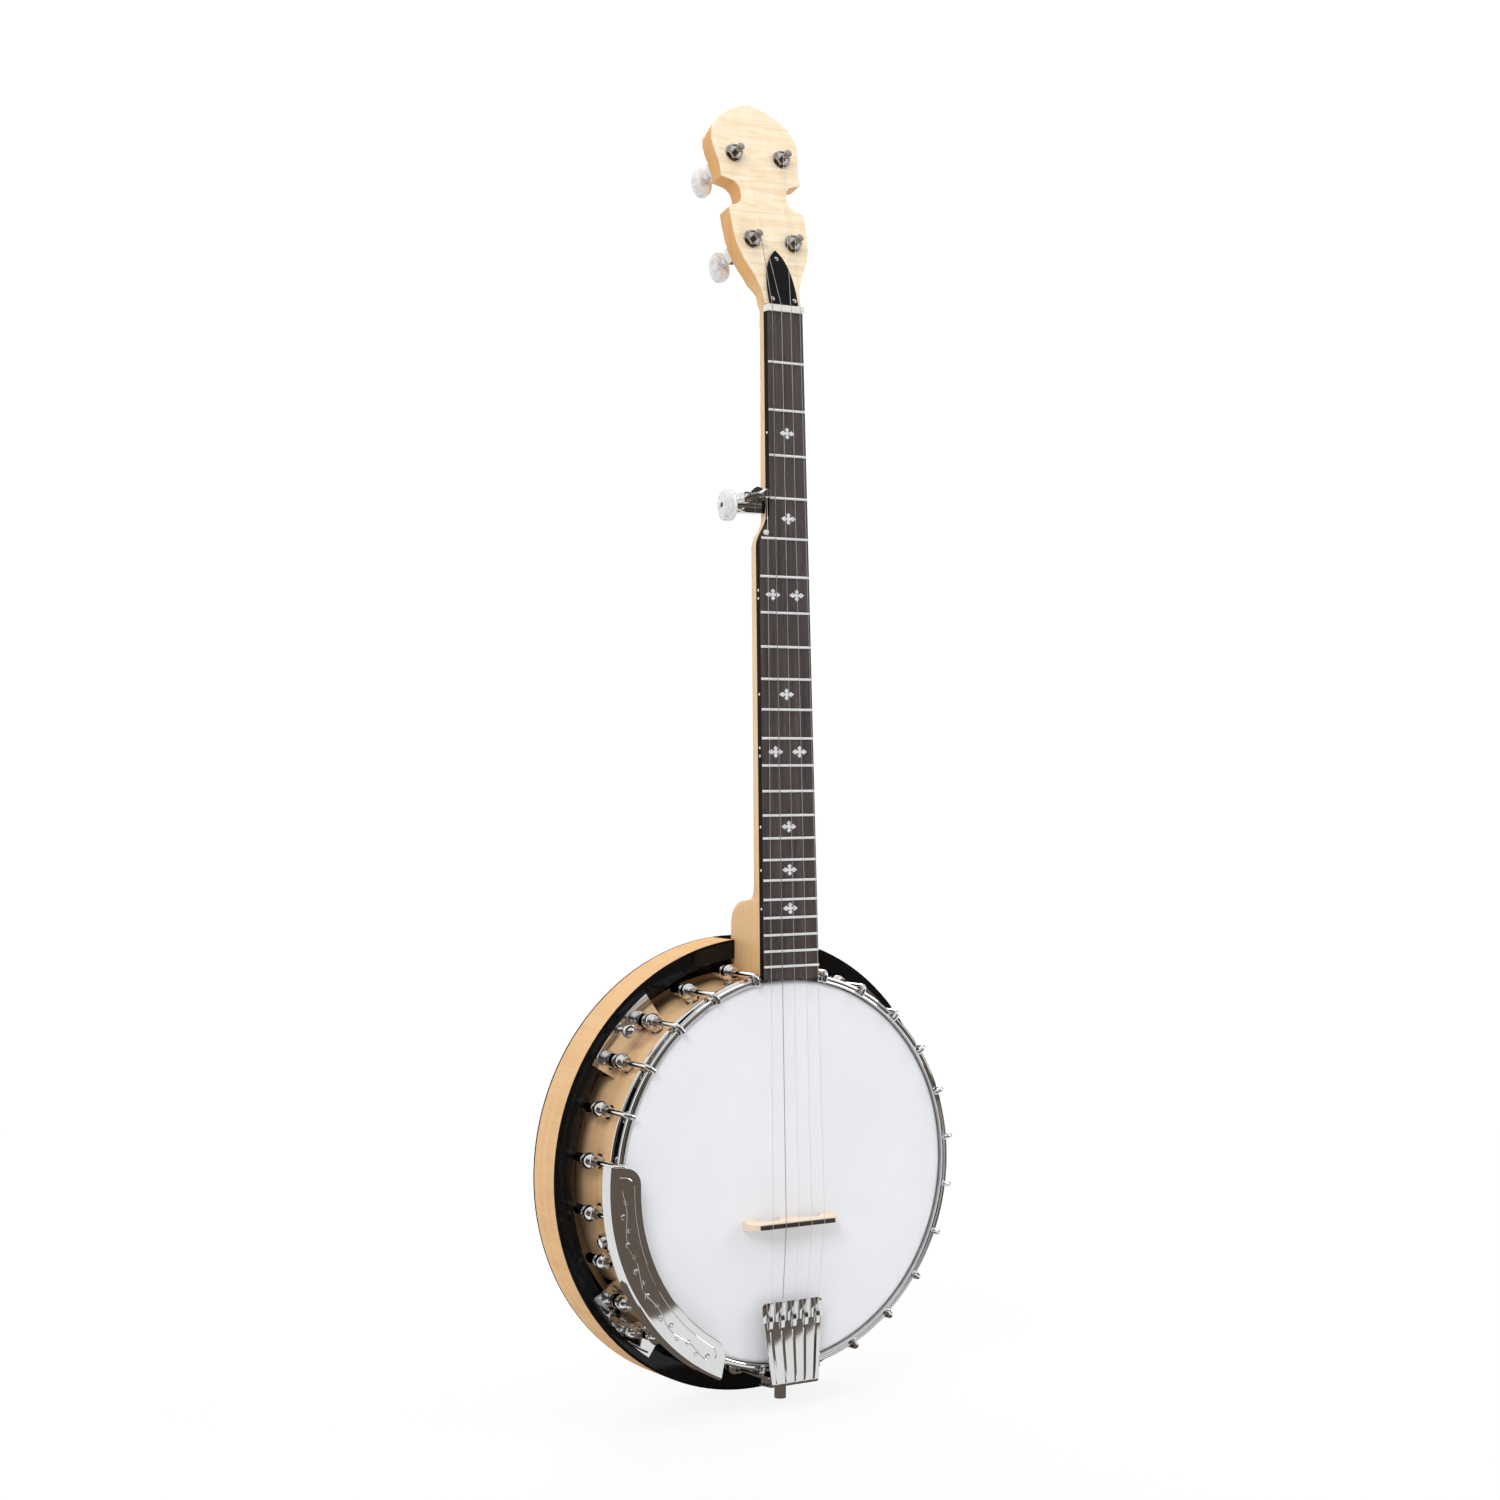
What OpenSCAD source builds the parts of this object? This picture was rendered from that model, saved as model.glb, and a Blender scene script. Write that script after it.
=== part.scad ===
/* [Scale length and neck] */
// Distance from the nut to the bridge along the strings
scale_len = 666.75; // [640:0.25:700]
// Number of frets
fret_count = 22; // [20:1:22]
// Lean of the neck behind the plane of the head, in degrees
neck_lean = 2.25; // [1:0.25:4]
// Thickness of the fingerboard
board_t = 5; // [4:0.5:7]
// Distance from the nut to the end of the fingerboard
board_len = 489; // [487:0.5:490]
// Half width of the fingerboard at its body end
board_half_end = 24.25; // [23:0.05:26]
// Distance from the centre plane to the treble edge at the nut
nut_treble = 20; // [19:0.1:21]
// Distance from the centre plane to the bass edge at the nut
nut_bass = 11.2; // [10:0.1:12]
// Thickness of the neck at the nut, with the fingerboard
neck_t_nut = 20.5; // [18:0.5:23]
// Thickness of the neck near the heel, with the fingerboard
neck_t_heel = 24; // [22:0.5:26]

/* [Peghead] */
// Tilt of the peghead behind the fingerboard, in degrees
peg_tilt = 15; // [12:0.5:17]
// Thickness of the peghead with its overlay
peg_t = 14.5; // [13:0.5:16]
// Thickness of the flamed overlay
overlay_t = 1.2; // [1:0.1:2]
// Centre line of the peghead, towards the treble side
peg_x = 4; // [3:0.5:5]
// Height of the upper pair of tuners above the nut
tuner_high = 127; // [120:1:130]
// Height of the lower pair of tuners above the nut
tuner_low = 57; // [54:1:60]
// Half distance between the upper tuners
tuner_half_high = 21; // [20:0.5:22]
// Half distance between the lower tuners
tuner_half_low = 18; // [17:0.5:19]

/* [Pot] */
// Height of the nut above the centre of the head
pot_drop = 629.8; // [628:0.1:632]
// Distance of the head in front of the origin
head_y = 24.5; // [24:0.1:25]
// Outer radius of the wooden rim
rim_r = 139.4; // [139:0.1:140]
// Thickness of the rim, inside to outside
rim_wall = 18.7; // [16:0.1:20]
// Depth of the rim's lower edge behind the head
rim_back = 68; // [66:1:70]
// Outer radius of the tension hoop
hoop_r = 144.6; // [144:0.1:145]
// Number of tension hooks
hook_count = 24; // [20:2:28]
// Angle of the first hook from the neck, in degrees
hook_first = 12; // [12:0.1:12.5]
// Angle between neighbouring hooks
hook_step = 14.4; // [14.2:0.1:14.4]
// Radius of the circle of hook shanks
hook_ring_r = 147.5; // [147.5:0.1:148]
// Diameter of the hook wire
hook_d = 4; // [3.5:0.1:4]

/* [Resonator] */
// Outer radius of the resonator
res_r = 167.9; // [167:0.1:169]
// Inner radius of the resonator's wall
res_in_r = 154.4; // [154:0.1:154.5]
// Depth of the resonator's front edge behind the head
res_front = 45.6; // [45:0.1:46]
// Depth of the wall's back edge behind the head
res_back = 76.8; // [76:0.1:78]
// Depth of the flat of the resonator's back behind the head
res_flat = 84; // [83:0.5:85]
// Half width of the opening in the wall for the neck
res_gap_half = 17.5; // [17:0.5:19]

/* [Bridge and tailpiece] */
// Height of the bridge
bridge_h = 15.9; // [15:0.1:16.5]
// Distance between neighbouring strings at the bridge
bridge_pitch = 11.3; // [10.8:0.1:11.5]
// Distance between neighbouring strings at the tailpiece
tail_pitch = 10.3; // [10:0.1:10.5]

/* [Hidden] */
$fn = 96;

// ---- frames -------------------------------------------------------------
// Fingerboard face at the nut, in front of the middle of the neck's thickness
nut_y = -10;

// Neck frame: origin at the nut on the fingerboard's face, z up the neck
module on_neck() translate([0, nut_y, 0]) rotate([-neck_lean, 0, 0]) children();
// Peghead frame: origin at the nut, z up the peghead, y = 0 on its face
module on_peghead() on_neck() rotate([-peg_tilt, 0, 0]) children();
// Pot frame: origin at the centre of the head, y towards the back
module on_pot() translate([0, -head_y, -pot_drop]) children();
// Pot frame turned to angle a, from the neck towards the treble side
module at_angle(a) on_pot() rotate([0, a, 0]) children();

function lean(p, a) = [p.x, p.y * cos(a) + p.z * sin(a), p.z * cos(a) - p.y * sin(a)];
function neck_pt(p) = lean(p, neck_lean) + [0, nut_y, 0];
function peg_pt(p) = lean(p, neck_lean + peg_tilt) + [0, nut_y, 0];
function pot_pt(p) = p + [0, -head_y, -pot_drop];

// ---- helpers ------------------------------------------------------------
// Solid turned about the y axis from points of radius and depth
module lathe(points) rotate([-90, 0, 0]) rotate_extrude() polygon(points);
// Solid turned about the z axis from points of radius and height
module lathe_z(points) rotate_extrude() polygon(points);
// Part of a solid turned about the y axis, between two angles from the top
module lathe_arc(points, from, to)
    rotate([-90, 0, 0]) rotate_extrude(angle = to - from, start = from - 90) polygon(points);
// Cylinder along y between two depths
module bar_y(r, y0, y1) translate([0, y0, 0]) rotate([-90, 0, 0]) cylinder(r = r, h = y1 - y0);
// Cylinder along z between two heights
module bar_z(r, z0, z1) translate([0, 0, z0]) cylinder(r = r, h = z1 - z0);
// Cylinder along x between two places
module bar_x(r, x0, x1) translate([x0, 0, 0]) rotate([0, 90, 0]) cylinder(r = r, h = x1 - x0);
// Box between two corners
module block(a, b) translate(a) cube(b - a);
// Flat plate from an outline in x and z, between two depths
module plate(points, y0, y1)
    translate([0, y1, 0]) rotate([90, 0, 0]) linear_extrude(y1 - y0) polygon(points);
// Round rod between two points
module rod(a, b, r) {
    d = b - a;
    translate(a) rotate([0, acos(d.z / norm(d)), atan2(d.y, d.x)]) cylinder(r = r, h = norm(d), $fn = 12);
}

function reversed(v) = [for (i = [len(v) - 1:-1:0]) v[i]];
function mirrored(v) = [for (p = reversed(v)) [-p.x, p.y]];
function tail(v) = [for (i = [1:len(v) - 1]) v[i]];
// Smooth curve through a list of points, steps pieces between neighbours
function smooth_at(a, b, c, d, t) = 0.5 * (2 * b + (c - a) * t
    + (2 * a - 5 * b + 4 * c - d) * t * t + (3 * b - 3 * c + d - a) * t * t * t);
function smooth(v, steps = 5) = concat([for (i = [0:len(v) - 2], j = [0:steps - 1])
    smooth_at(v[max(i - 1, 0)], v[i], v[i + 1], v[min(i + 2, len(v) - 1)], j / steps)],
    [v[len(v) - 1]]);
// Arc points about a centre
function arc(c, r, a0, a1, n = 8) = [for (i = [0:n])
    c + r * [cos(a0 + (a1 - a0) * i / n), sin(a0 + (a1 - a0) * i / n)]];

// ---- neck ---------------------------------------------------------------
function fret_at(n) = scale_len * (1 - pow(2, -n / 12));
function treble_edge(s) = nut_treble + (board_half_end - nut_treble) * s / board_len;
shoulder_top = 150;
shoulder_end = 173;
narrow_edge = 12.4;
function bass_edge(s) = s < shoulder_top
    ? nut_bass + (narrow_edge - nut_bass) * s / shoulder_top
    : s > shoulder_end ? treble_edge(s)
    : narrow_edge + (treble_edge(s) - narrow_edge)
        * (1 - cos(180 * (s - shoulder_top) / (shoulder_end - shoulder_top))) / 2;
shoulder_steps = [for (i = [0:8]) shoulder_top + (shoulder_end - shoulder_top) * i / 8];

module board_plan(y0, y1, inset = 0)
    plate(concat([[treble_edge(0) - inset, 0], [treble_edge(board_len) - inset, -board_len],
        [-bass_edge(board_len) + inset, -board_len]],
        [for (s = reversed(shoulder_steps)) [-bass_edge(s) + inset, -s]],
        [[-bass_edge(0) + inset, 0]]), y0, y1);

// Thickness of the neck, with the fingerboard, at places along it
shaft_stations = [[2, neck_t_nut], [30, neck_t_nut + 0.1], [80, neck_t_nut + 0.4], [140, neck_t_nut + 1],
    [150, neck_t_nut + 1], [154, neck_t_nut + 1.1], [158, neck_t_nut + 1.1], [161.5, neck_t_nut + 1.2],
    [165, neck_t_nut + 1.2], [169, neck_t_nut + 1.3], [173, neck_t_nut + 1.4], [240, neck_t_nut + 1.9],
    [320, neck_t_heel - 0.9], [400, neck_t_heel - 0.4], [412, neck_t_heel]];
heel_stations = [[419, 24.4], [424, 25.4], [427.5, 27.6], [429.4, 31], [430.4, 36], [431.2, 43],
    [432.6, 50], [435.4, 56], [440, 60.5], [447, 63], [458, 63.6], [496, 63.6]];
blend_from = 412;
blend_to = 444;

// Ring of points about the neck at s: flat under the fingerboard and round at the back
function ring_pt(l, r, y0, y1, p, q, taper, a) =
    let (v = pow(sin(a), q), c = cos(a), n = pow(abs(c), p) * sign(c) * (1 - taper * v))
    [(r - l) / 2 + n * (r + l) / 2, y0 + 2 + (y1 - y0 - 2) * v];
function ring(l, r, y0, y1, p = 1, q = 0.8, taper = 0) = concat([[r, y0]],
    [for (i = [0:18]) ring_pt(l, r, y0, y1, p, q, taper, i == 9 ? 89.99 : i * 10)], [[-l, y0]]);
neck_under = board_t + 0.02;
function neck_ring(s, t) = let (k = max(0, min(1, (s - blend_from) / (blend_to - blend_from))))
    [for (p = ring(bass_edge(s) - 0.1, treble_edge(s) - 0.1, neck_under, t,
        1 - 0.7 * k, 0.8 - 0.5 * k, 0.36 * k)) [p.x, p.y, -s]];
// The same in the peghead's frame, brought into the neck's frame
function peg_ring(z, half, t, p, q) =
    [for (v = ring(half - peg_x, half + peg_x, overlay_t + 0.6, t, p, q)) lean([v.x, v.y, z], peg_tilt)];

neck_rings = concat([peg_ring(30, 15, peg_t - 1.5, 0.6, 0.5), peg_ring(17, 16, peg_t - 0.4, 0.4, 0.35),
    peg_ring(10, 16, peg_t + 0.9, 0.6, 0.5)], [[for (p = neck_ring(0, neck_t_nut - 0.8)) [p.x, p.y, 2.4]]],
    [for (v = concat(shaft_stations, heel_stations)) neck_ring(v[0], v[1])]);

// Skin over a stack of rings
module loft(rings) let (n = len(rings[0]), m = len(rings))
    polyhedron(points = [for (r = rings) each r], faces = concat([[for (i = [n - 1:-1:0]) i]],
        [for (j = [0:m - 2], i = [0:n - 1]) each [[j * n + i, j * n + (i + 1) % n, (j + 1) * n + i],
            [j * n + (i + 1) % n, (j + 1) * n + (i + 1) % n, (j + 1) * n + i]]],
        [[for (i = [0:n - 1]) (m - 1) * n + i]]));

// Peghead outline, treble half: up to the shoulder, round the notch to the horn, and on to the peak
peg_half = concat(
    smooth([[16, 5.95], [16.4, 16], [20.8, 29], [28, 43], [31.8, 56], [32.8, 70], [32.9, 82]], 4),
    smooth([[32.7, 82.6], [29.5, 84.1], [24.2, 86.4], [20.9, 90.3], [20.1, 95.5], [21, 100.4],
        [24.2, 104.2], [30, 106.2], [34.9, 107.4]], 4),
    smooth([[35.1, 107.9], [34.6, 115], [35.8, 123], [37.6, 132], [37.8, 140], [35.4, 147.8],
        [29, 156.4], [18, 163.6], [8, 168], [0, 170.2]], 4));
peg_outline = [for (p = concat(peg_half, tail(mirrored(peg_half)))) p + [peg_x, 0]];

tuner_x = [-tuner_half_low, -tuner_half_high, tuner_half_high, tuner_half_low];
tuner_z = [tuner_low, tuner_high, tuner_high, tuner_low];
module at_tuner(k) on_peghead() translate([peg_x + tuner_x[k - 1], 0, tuner_z[k - 1]]) children();

truss_y = board_t + 4.5;
hoop_room = 145.3;
lag_y = [24, 50];
nut_z = [-159.2, -147.4];

module neck() color("burlywood") difference() {
    union() {
        on_neck() loft(neck_rings);
        on_peghead() intersection() {
            plate(peg_outline, overlay_t + 0.02, peg_t);
            block([-60, 0, 14.5], [60, 20, 200]);
        }
    }
    // Room for the nut and the overlay
    on_neck() block([-40, -20, 0.05], [40, neck_under + 0.04, 5.1]);
    on_peghead() block([-60, -30, 5.9], [60, overlay_t + 0.01, 60]);
    // Bed against the rim, and room for the hoop
    on_pot() bar_y(rim_r + 0.1, -20, 90);
    on_pot() bar_y(hoop_room, -20, 10.8);
    // Tuner holes, truss rod channel and its pocket
    for (k = [1:4]) at_tuner(k) bar_y(4.9, -5, 20);
    on_neck() translate([peg_x, truss_y, 0]) bar_z(2.7, -432, 25);
    on_peghead() block([peg_x - 4, -1, 7], [peg_x + 4, 11, 40]);
    // Lag bolts and the stem of the fifth peg
    for (y = lag_y) on_pot() translate([0, y, 0]) bar_z(3.2, 130, 172);
    on_neck() translate([0, fifth_y, fifth_z]) bar_x(2.6, -20, -2);
}

module peghead_overlay() color("wheat") difference() {
    on_peghead() plate(peg_outline, 0, overlay_t);
    for (k = [1:4]) at_tuner(k) bar_y(4.9, -5, 20);
    on_peghead() block([peg_x - 4, -1, 4], [peg_x + 4, 11, 40]);
}

// ---- fingerboard --------------------------------------------------------
fret_w = 2;
fret_h = 1.1;
tang_w = 0.6;
tang_d = 2;
module tang(n, extra = 0) let (s = fret_at(n))
    block([-bass_edge(s) + 0.6 - extra, -extra, -s - tang_w / 2 - extra],
        [treble_edge(s) - 0.6 + extra, tang_d + extra, -s + tang_w / 2 + extra]);

// Flower inlay of four pointed petals, the side petals longer than the others
petal_top = [[6.6, 0], [3.8, 1.9], [1.3, 0.7], [0.9, 1.2], [1.9, 2.8], [0, 4.4], [-1.9, 2.8],
    [-0.9, 1.2], [-1.3, 0.7], [-3.8, 1.9]];
module petals(grow = 0) plate([for (p = concat(petal_top, -petal_top)) p + grow * [sign(p.x), sign(p.y)]],
    -grow, 1 + grow);

single_marks = [3, 5, 10, 15, 17, 19];
double_marks = [7, 12];
function mid_s(n) = (fret_at(n - 1) + fret_at(n)) / 2;
function mark_x(n) = (treble_edge(mid_s(n)) - bass_edge(mid_s(n))) / 2;
mark_spots = concat([for (n = single_marks) [mark_x(n), -mid_s(n)]],
    [for (n = double_marks, d = [-10.5, 10.5]) [mark_x(n) + d, -mid_s(n)]]);
dot_spots = concat([for (n = single_marks) mid_s(n)],
    [for (n = double_marks, d = [-3, 3]) mid_s(n) + d]);
pip_s = fret_at(5) - 4;
pip_x = -16;

module fretboard() color("#3d302c") on_neck() difference() {
    board_plan(0, board_t);
    for (n = [1:fret_count]) tang(n, 0.02);
    for (m = mark_spots) translate([m.x, 0, m.y]) petals(0.02);
    for (s = dot_spots) translate([-bass_edge(s), 2.4, -s]) bar_x(1.02, -1, 1.22);
    translate([pip_x, 0, -pip_s]) bar_y(1.62, -1, 3.02);
}

module frets() color("silver") on_neck() for (n = [1:fret_count]) let (s = fret_at(n)) {
    union() {
        tang(n);
        intersection() {
            block([-bass_edge(s) + 0.3, -fret_h, -s - 5], [treble_edge(s) - 0.3, 0, -s + 5]);
            translate([0, 0.4, -s]) bar_x(fret_h + 0.4, -40, 40);
            block([-40, -fret_h, -s - fret_w / 2], [40, 0, -s + fret_w / 2]);
        }
    }
}

module position_inlays() color("ivory") on_neck()
    for (m = mark_spots) translate([m.x, 0, m.y]) petals();

module side_dots() color("ivory") on_neck()
    for (s = dot_spots) translate([-bass_edge(s), 2.4, -s]) bar_x(1, 0.02, 1.2);

module string_nut() color("ivory") difference() {
    on_neck() plate([[-nut_bass, 0.1], [nut_treble, 0.1], [nut_treble, 5], [-nut_bass, 5]], -2.2, board_t);
    for (k = [1:4]) on_neck() translate([nut_x(k), -1.4, 0]) {
        bar_z(0.45, -1, 6);
        block([-0.45, -2, -1], [0.45, 0, 6]);
    }
}

module fifth_string_pip() color("ivory") on_neck() translate([pip_x, 0, -pip_s])
    lathe([[0, -2.6], [1.2, -2.6], [1.8, -2], [1.3, -1.4], [1.3, -0.9], [2, -0.9], [2, -0.02],
        [1.6, -0.02], [1.6, 3], [0, 3]]);

// ---- truss rod and its cover ---------------------------------------------
cover_half = smooth([[12.2, 6], [12.2, 14], [11.6, 22], [10.4, 30], [8.2, 37.5], [4.7, 44.3], [0, 49.5]], 4);
cover_screw_spots = [[0, 42.5], [-9.6, 9.5], [9.6, 9.5]];
module truss_rod_cover() color("#141414") on_peghead() translate([peg_x, 0, 0]) difference() {
    plate(concat(cover_half, tail(mirrored(cover_half))), -1.8, -0.02);
    for (p = cover_screw_spots) translate([p.x, 0, p.y]) bar_y(0.9, -5, 5);
}

module truss_cover_screws() color("silver") on_peghead() translate([peg_x, 0, 0])
    for (p = cover_screw_spots) translate([p.x, 0, p.y]) difference() {
        lathe([[0, -2.6], [1, -2.5], [1.7, -1.82], [0.85, -1.82], [0.85, -0.1], [0, -0.1]]);
        block([-2, -3, -0.2], [2, -2.2, 0.2]);
    }

module truss_rod() color("dimgray") on_neck() translate([peg_x, truss_y, 0]) {
    bar_z(2.5, -430, 20);
    translate([0, 0, 10]) difference() {
        cylinder(r = 3.9, h = 8, $fn = 6);
        bar_z(2.52, -1, 9);
    }
}

// ---- rods that hold the neck to the pot ------------------------------------
module neck_lag_bolts() color("gray") on_pot() for (y = lag_y) translate([0, y, 0]) {
    bar_z(3.1, 112, 170);
}

rod_end = 119;
module coordinator_rods() color("silver") on_pot() for (i = [0, 1]) translate([0, lag_y[i], 0])
    difference() {
        union() {
            bar_z(4.8, -rod_end, rod_end);
            bar_z(3, nut_z[i] - 2.2, -rod_end + 1);
        }
        bar_z(3.15, 111, rod_end + 1);
        translate([0, 0, 60]) bar_x(1.8, -8, 8);
    }

// Nuts outside the rim, and washers inside it
module coordinator_nuts() color("silver") on_pot() for (i = [0, 1]) translate([0, lag_y[i], 0]) {
    translate([0, 0, nut_z[i]]) difference() {
        cylinder(r = 6.3, h = 5.6, $fn = 6);
        bar_z(3.05, -1, 9);
    }
    difference() {
        bar_z(9, -rim_r + rim_wall + 0.8, -rim_r + rim_wall + 1.6);
        bar_z(4.9, -140, -100);
    }
}

// ---- planetary tuners -------------------------------------------------------
post_r = 2.6;
shaft_r = 2;
case_r = 8.6;
case_back = 33;
ring_r = 6.35;
planet_r = 2;
orbit_r = 4.2;
button_y = 47.5;
button_half = 5.6;

module tuner_housings() color("silver") for (k = [1:4]) at_tuner(k)
    lathe([[post_r + 0.05, -3.6], [4.7, -3.6], [4.7, peg_t + 0.02], [case_r, peg_t + 0.02],
        [case_r, peg_t + 12], [case_r - 1, peg_t + 14], [6.4, case_back - 3], [5, case_back],
        [shaft_r + 0.05, case_back], [shaft_r + 0.05, peg_t + 12],
        [ring_r, peg_t + 11], [ring_r, peg_t + 2], [post_r + 0.05, peg_t + 2]]);

module tuner_bushings() color("silver") for (k = [1:4]) at_tuner(k) {
    lathe([[4.75, -0.02], [7.1, -0.02], [7.1, -0.7], [6.5, -1.3], [4.75, -1.3]]);
    difference() {
        translate([0, -1.32, 0]) rotate([90, 0, 0]) cylinder(r = 6.2, h = 3.1, $fn = 6);
        bar_y(4.75, -8, 2);
    }
}

// Post with its string turns, and the planet pinions that its carrier holds
module tuner_post(k) color("silver") at_tuner(k) {
    difference() {
        lathe([[0, -12], [2.4, -11.8], [3, -11.2], [3, -10.4], [2, -9.6], [2, -6.6],
            [post_r, -5.8], [post_r, peg_t + 2.4], [5.9, peg_t + 2.4], [5.9, peg_t + 4.2],
            [2.6, peg_t + 4.2], [0, peg_t + 4.2]]);
        translate([0, -8, 0]) bar_x(0.5, -4, 4);
    }
    lathe([[2.02, -9], [2.6, -9], [2.6, -7.2], [2.02, -7.2]]);
    for (i = [0:2]) rotate([0, 120 * i, 0]) translate([orbit_r, 0, 0])
        bar_y(planet_r, peg_t + 4.3, peg_t + 9.8);
}

// Shaft with its sun pinion at the front and the button's screw at the back
module tuner_shaft(k) color("silver") at_tuner(k) {
    bar_y(shaft_r, peg_t + 4.6, button_y + button_half - 0.3);
    lathe([[0, button_y + button_half + 1.4], [1.6, button_y + button_half + 1.2],
        [2.8, button_y + button_half + 0.05], [0, button_y + button_half + 0.05]]);
    lathe([[shaft_r + 0.02, case_back + 0.3], [4.4, case_back + 0.3], [3.4, button_y - button_half - 0.05],
        [shaft_r + 0.02, button_y - button_half - 0.05]]);
}

// Oval grip made of two rounds and the block between them
module oval(r, half, y0, y1) {
    for (d = [-half, half]) translate([0, 0, d]) bar_y(r, y0, y1);
    block([-r, y0, -half], [r, y1, half]);
}
module tuner_button(k) color("whitesmoke") at_tuner(k) difference() {
    oval(7.7, 4.4, button_y - button_half, button_y + button_half);
    bar_y(shaft_r + 0.02, 0, 80);
}

// ---- geared fifth peg, on the bass side of the neck --------------------------
fifth_y = 10;
fifth_z = -143.2;
fifth_post_x = -19.4;
fifth_post_z = -135.6;
fifth_case_x0 = -32.6;
fifth_case_x1 = -13.1;
fifth_button_x = -42.3;
fifth_button_half = 5.7;
worm_r = 2.2;
wheel_r = 5.2;

module fifth_peg_housing() color("silver") on_neck() difference() {
    union() {
        block([fifth_case_x0 + 2, 5, fifth_z - 5.5], [fifth_case_x1, 15.6, fifth_post_z + 2]);
        translate([fifth_post_x, 0, fifth_post_z]) bar_y(6.2, 4, 15.6);
        translate([0, fifth_y, fifth_z]) bar_x(5.4, fifth_case_x0, fifth_case_x1);
        translate([0, fifth_y, fifth_z]) bar_x(2.5, -14, -3);
    }
    translate([0, fifth_y, fifth_z]) bar_x(worm_r + 0.05, -60, -15);
    translate([fifth_post_x, 0, fifth_post_z]) bar_y(post_r + 0.05, 0, 20);
    translate([fifth_post_x, 0, fifth_post_z]) bar_y(wheel_r + 0.2, 7, 13);
}

module fifth_peg_post() color("silver") on_neck() translate([fifth_post_x, 0, fifth_post_z]) {
    difference() {
        union() {
            lathe([[0, -8.6], [2.6, -8.3], [3.3, -7.6], [3.3, -6.8], [2, -5.9], [2, -1.4], [post_r, -0.6],
                [post_r, 15], [0, 15]]);
            bar_y(wheel_r, 7.2, 12.8);
        }
        translate([0, -3.2, 0]) bar_x(0.5, -4, 4);
    }
    lathe([[2.02, -4.2], [2.6, -4.2], [2.6, -2], [2.02, -2]]);
}

module fifth_peg_shaft() color("silver") on_neck() translate([0, fifth_y, fifth_z]) {
    bar_x(worm_r, fifth_button_x - fifth_button_half + 0.3, -15.2);
    rotate([0, 0, 90]) {
        lathe([[worm_r + 0.02, -fifth_case_x0 + 0.2], [5.6, -fifth_case_x0 + 0.2],
            [4.6, -fifth_button_x - fifth_button_half - 0.05],
            [worm_r + 0.02, -fifth_button_x - fifth_button_half - 0.05]]);
        lathe([[0, -fifth_button_x + fifth_button_half + 1.4],
            [1.6, -fifth_button_x + fifth_button_half + 1.2],
            [3.1, -fifth_button_x + fifth_button_half + 0.05],
            [0, -fifth_button_x + fifth_button_half + 0.05]]);
    }
}

module fifth_peg_button() color("whitesmoke") on_neck() translate([0, fifth_y, fifth_z])
    rotate([0, 0, 90]) difference() {
        oval(7.7, 4.4, -fifth_button_x - fifth_button_half, -fifth_button_x + fifth_button_half);
        bar_y(worm_r + 0.02, 0, 80);
    }

// ---- rim, head and hoop -------------------------------------------------------
half_angles = [for (k = [0:hook_count / 2 - 1]) hook_first + hook_step * k];
hook_angles = concat(half_angles, [for (a = reversed(half_angles)) 360 - a]);
shoe_y = 32;
rim_top = 6.9;

module rim() color("burlywood") difference() {
    on_pot() lathe([[rim_r - rim_wall, rim_top], [rim_r - 0.6, rim_top], [rim_r, rim_top + 0.6],
        [rim_r, rim_back - 1], [rim_r - 1, rim_back], [rim_r - rim_wall + 1, rim_back],
        [rim_r - rim_wall, rim_back - 1]]);
    for (a = hook_angles) at_angle(a) translate([0, shoe_y, 0]) bar_z(2.1, 110, 150);
    for (y = lag_y) on_pot() translate([0, y, 0]) bar_z(3.3, -150, 150);
    for (a = bracket_angles, d = [-1, 1]) at_angle(a + d * bracket_screw_turn)
        translate([0, leg_screw_y, 0]) bar_z(1.5, 130, 150);
}

module tone_ring() color("goldenrod") on_pot() rotate([-90, 0, 0]) rotate_extrude()
    translate([136.2, 3.6]) circle(r = 3.2);

film = 0.35;
collar_r = rim_r + 0.1 + film;
module head() color("whitesmoke") on_pot() lathe(concat([[0, 0], [136.4, 0]],
    arc([136.4, collar_r - 136.4], collar_r - 136.4, -90, 0),
    [[collar_r, 9.6], [collar_r - film, 9.6]],
    arc([136.4, collar_r - 136.4], collar_r - 136.4 - film, 0, -90), [[0, film]]));

module flesh_hoop() color("silver") on_pot() lathe([[collar_r + 0.02, 7.6], [142.4, 7.6], [142.4, 10.4],
    [collar_r + 0.02, 10.4]]);

// Hoop with two lips in front, cut away where the fingerboard crosses it
module tension_hoop() color("silver") on_pot() difference() {
    lathe([[collar_r + 0.25, -2.1], [collar_r + 0.65, -2.5], [141.9, -2.5], [142, -1.2],
        [143.4, -1.2], [143.5, -2.5], [hoop_r - 0.4, -2.5], [hoop_r, -2.1],
        [hoop_r, 10.1], [hoop_r - 0.4, 10.5], [143, 10.5], [143, 7.5], [collar_r + 0.25, 7.5]]);
    block([-board_half_end - 0.6, -10, 130], [board_half_end + 0.6, 1, 150]);
}

// ---- hooks, nuts and shoes -----------------------------------------------------
hook_r = hook_d / 2;
bend_r = 3;
crest_y = -2.5 - hook_r;

module bracket_hooks() color("silver") for (a = hook_angles) at_angle(a) {
    translate([0, 0, hook_ring_r]) bar_y(hook_r, crest_y + bend_r, 55);
    translate([0, crest_y + bend_r, hook_ring_r - bend_r]) rotate([0, -90, 0])
        rotate_extrude(angle = 90, start = -90) translate([bend_r, 0]) circle(r = hook_r);
    translate([0, crest_y, 0]) bar_z(hook_r, 141.5, hook_ring_r - bend_r);
    translate([0, crest_y, 141.5]) sphere(r = hook_r);
}

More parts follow.
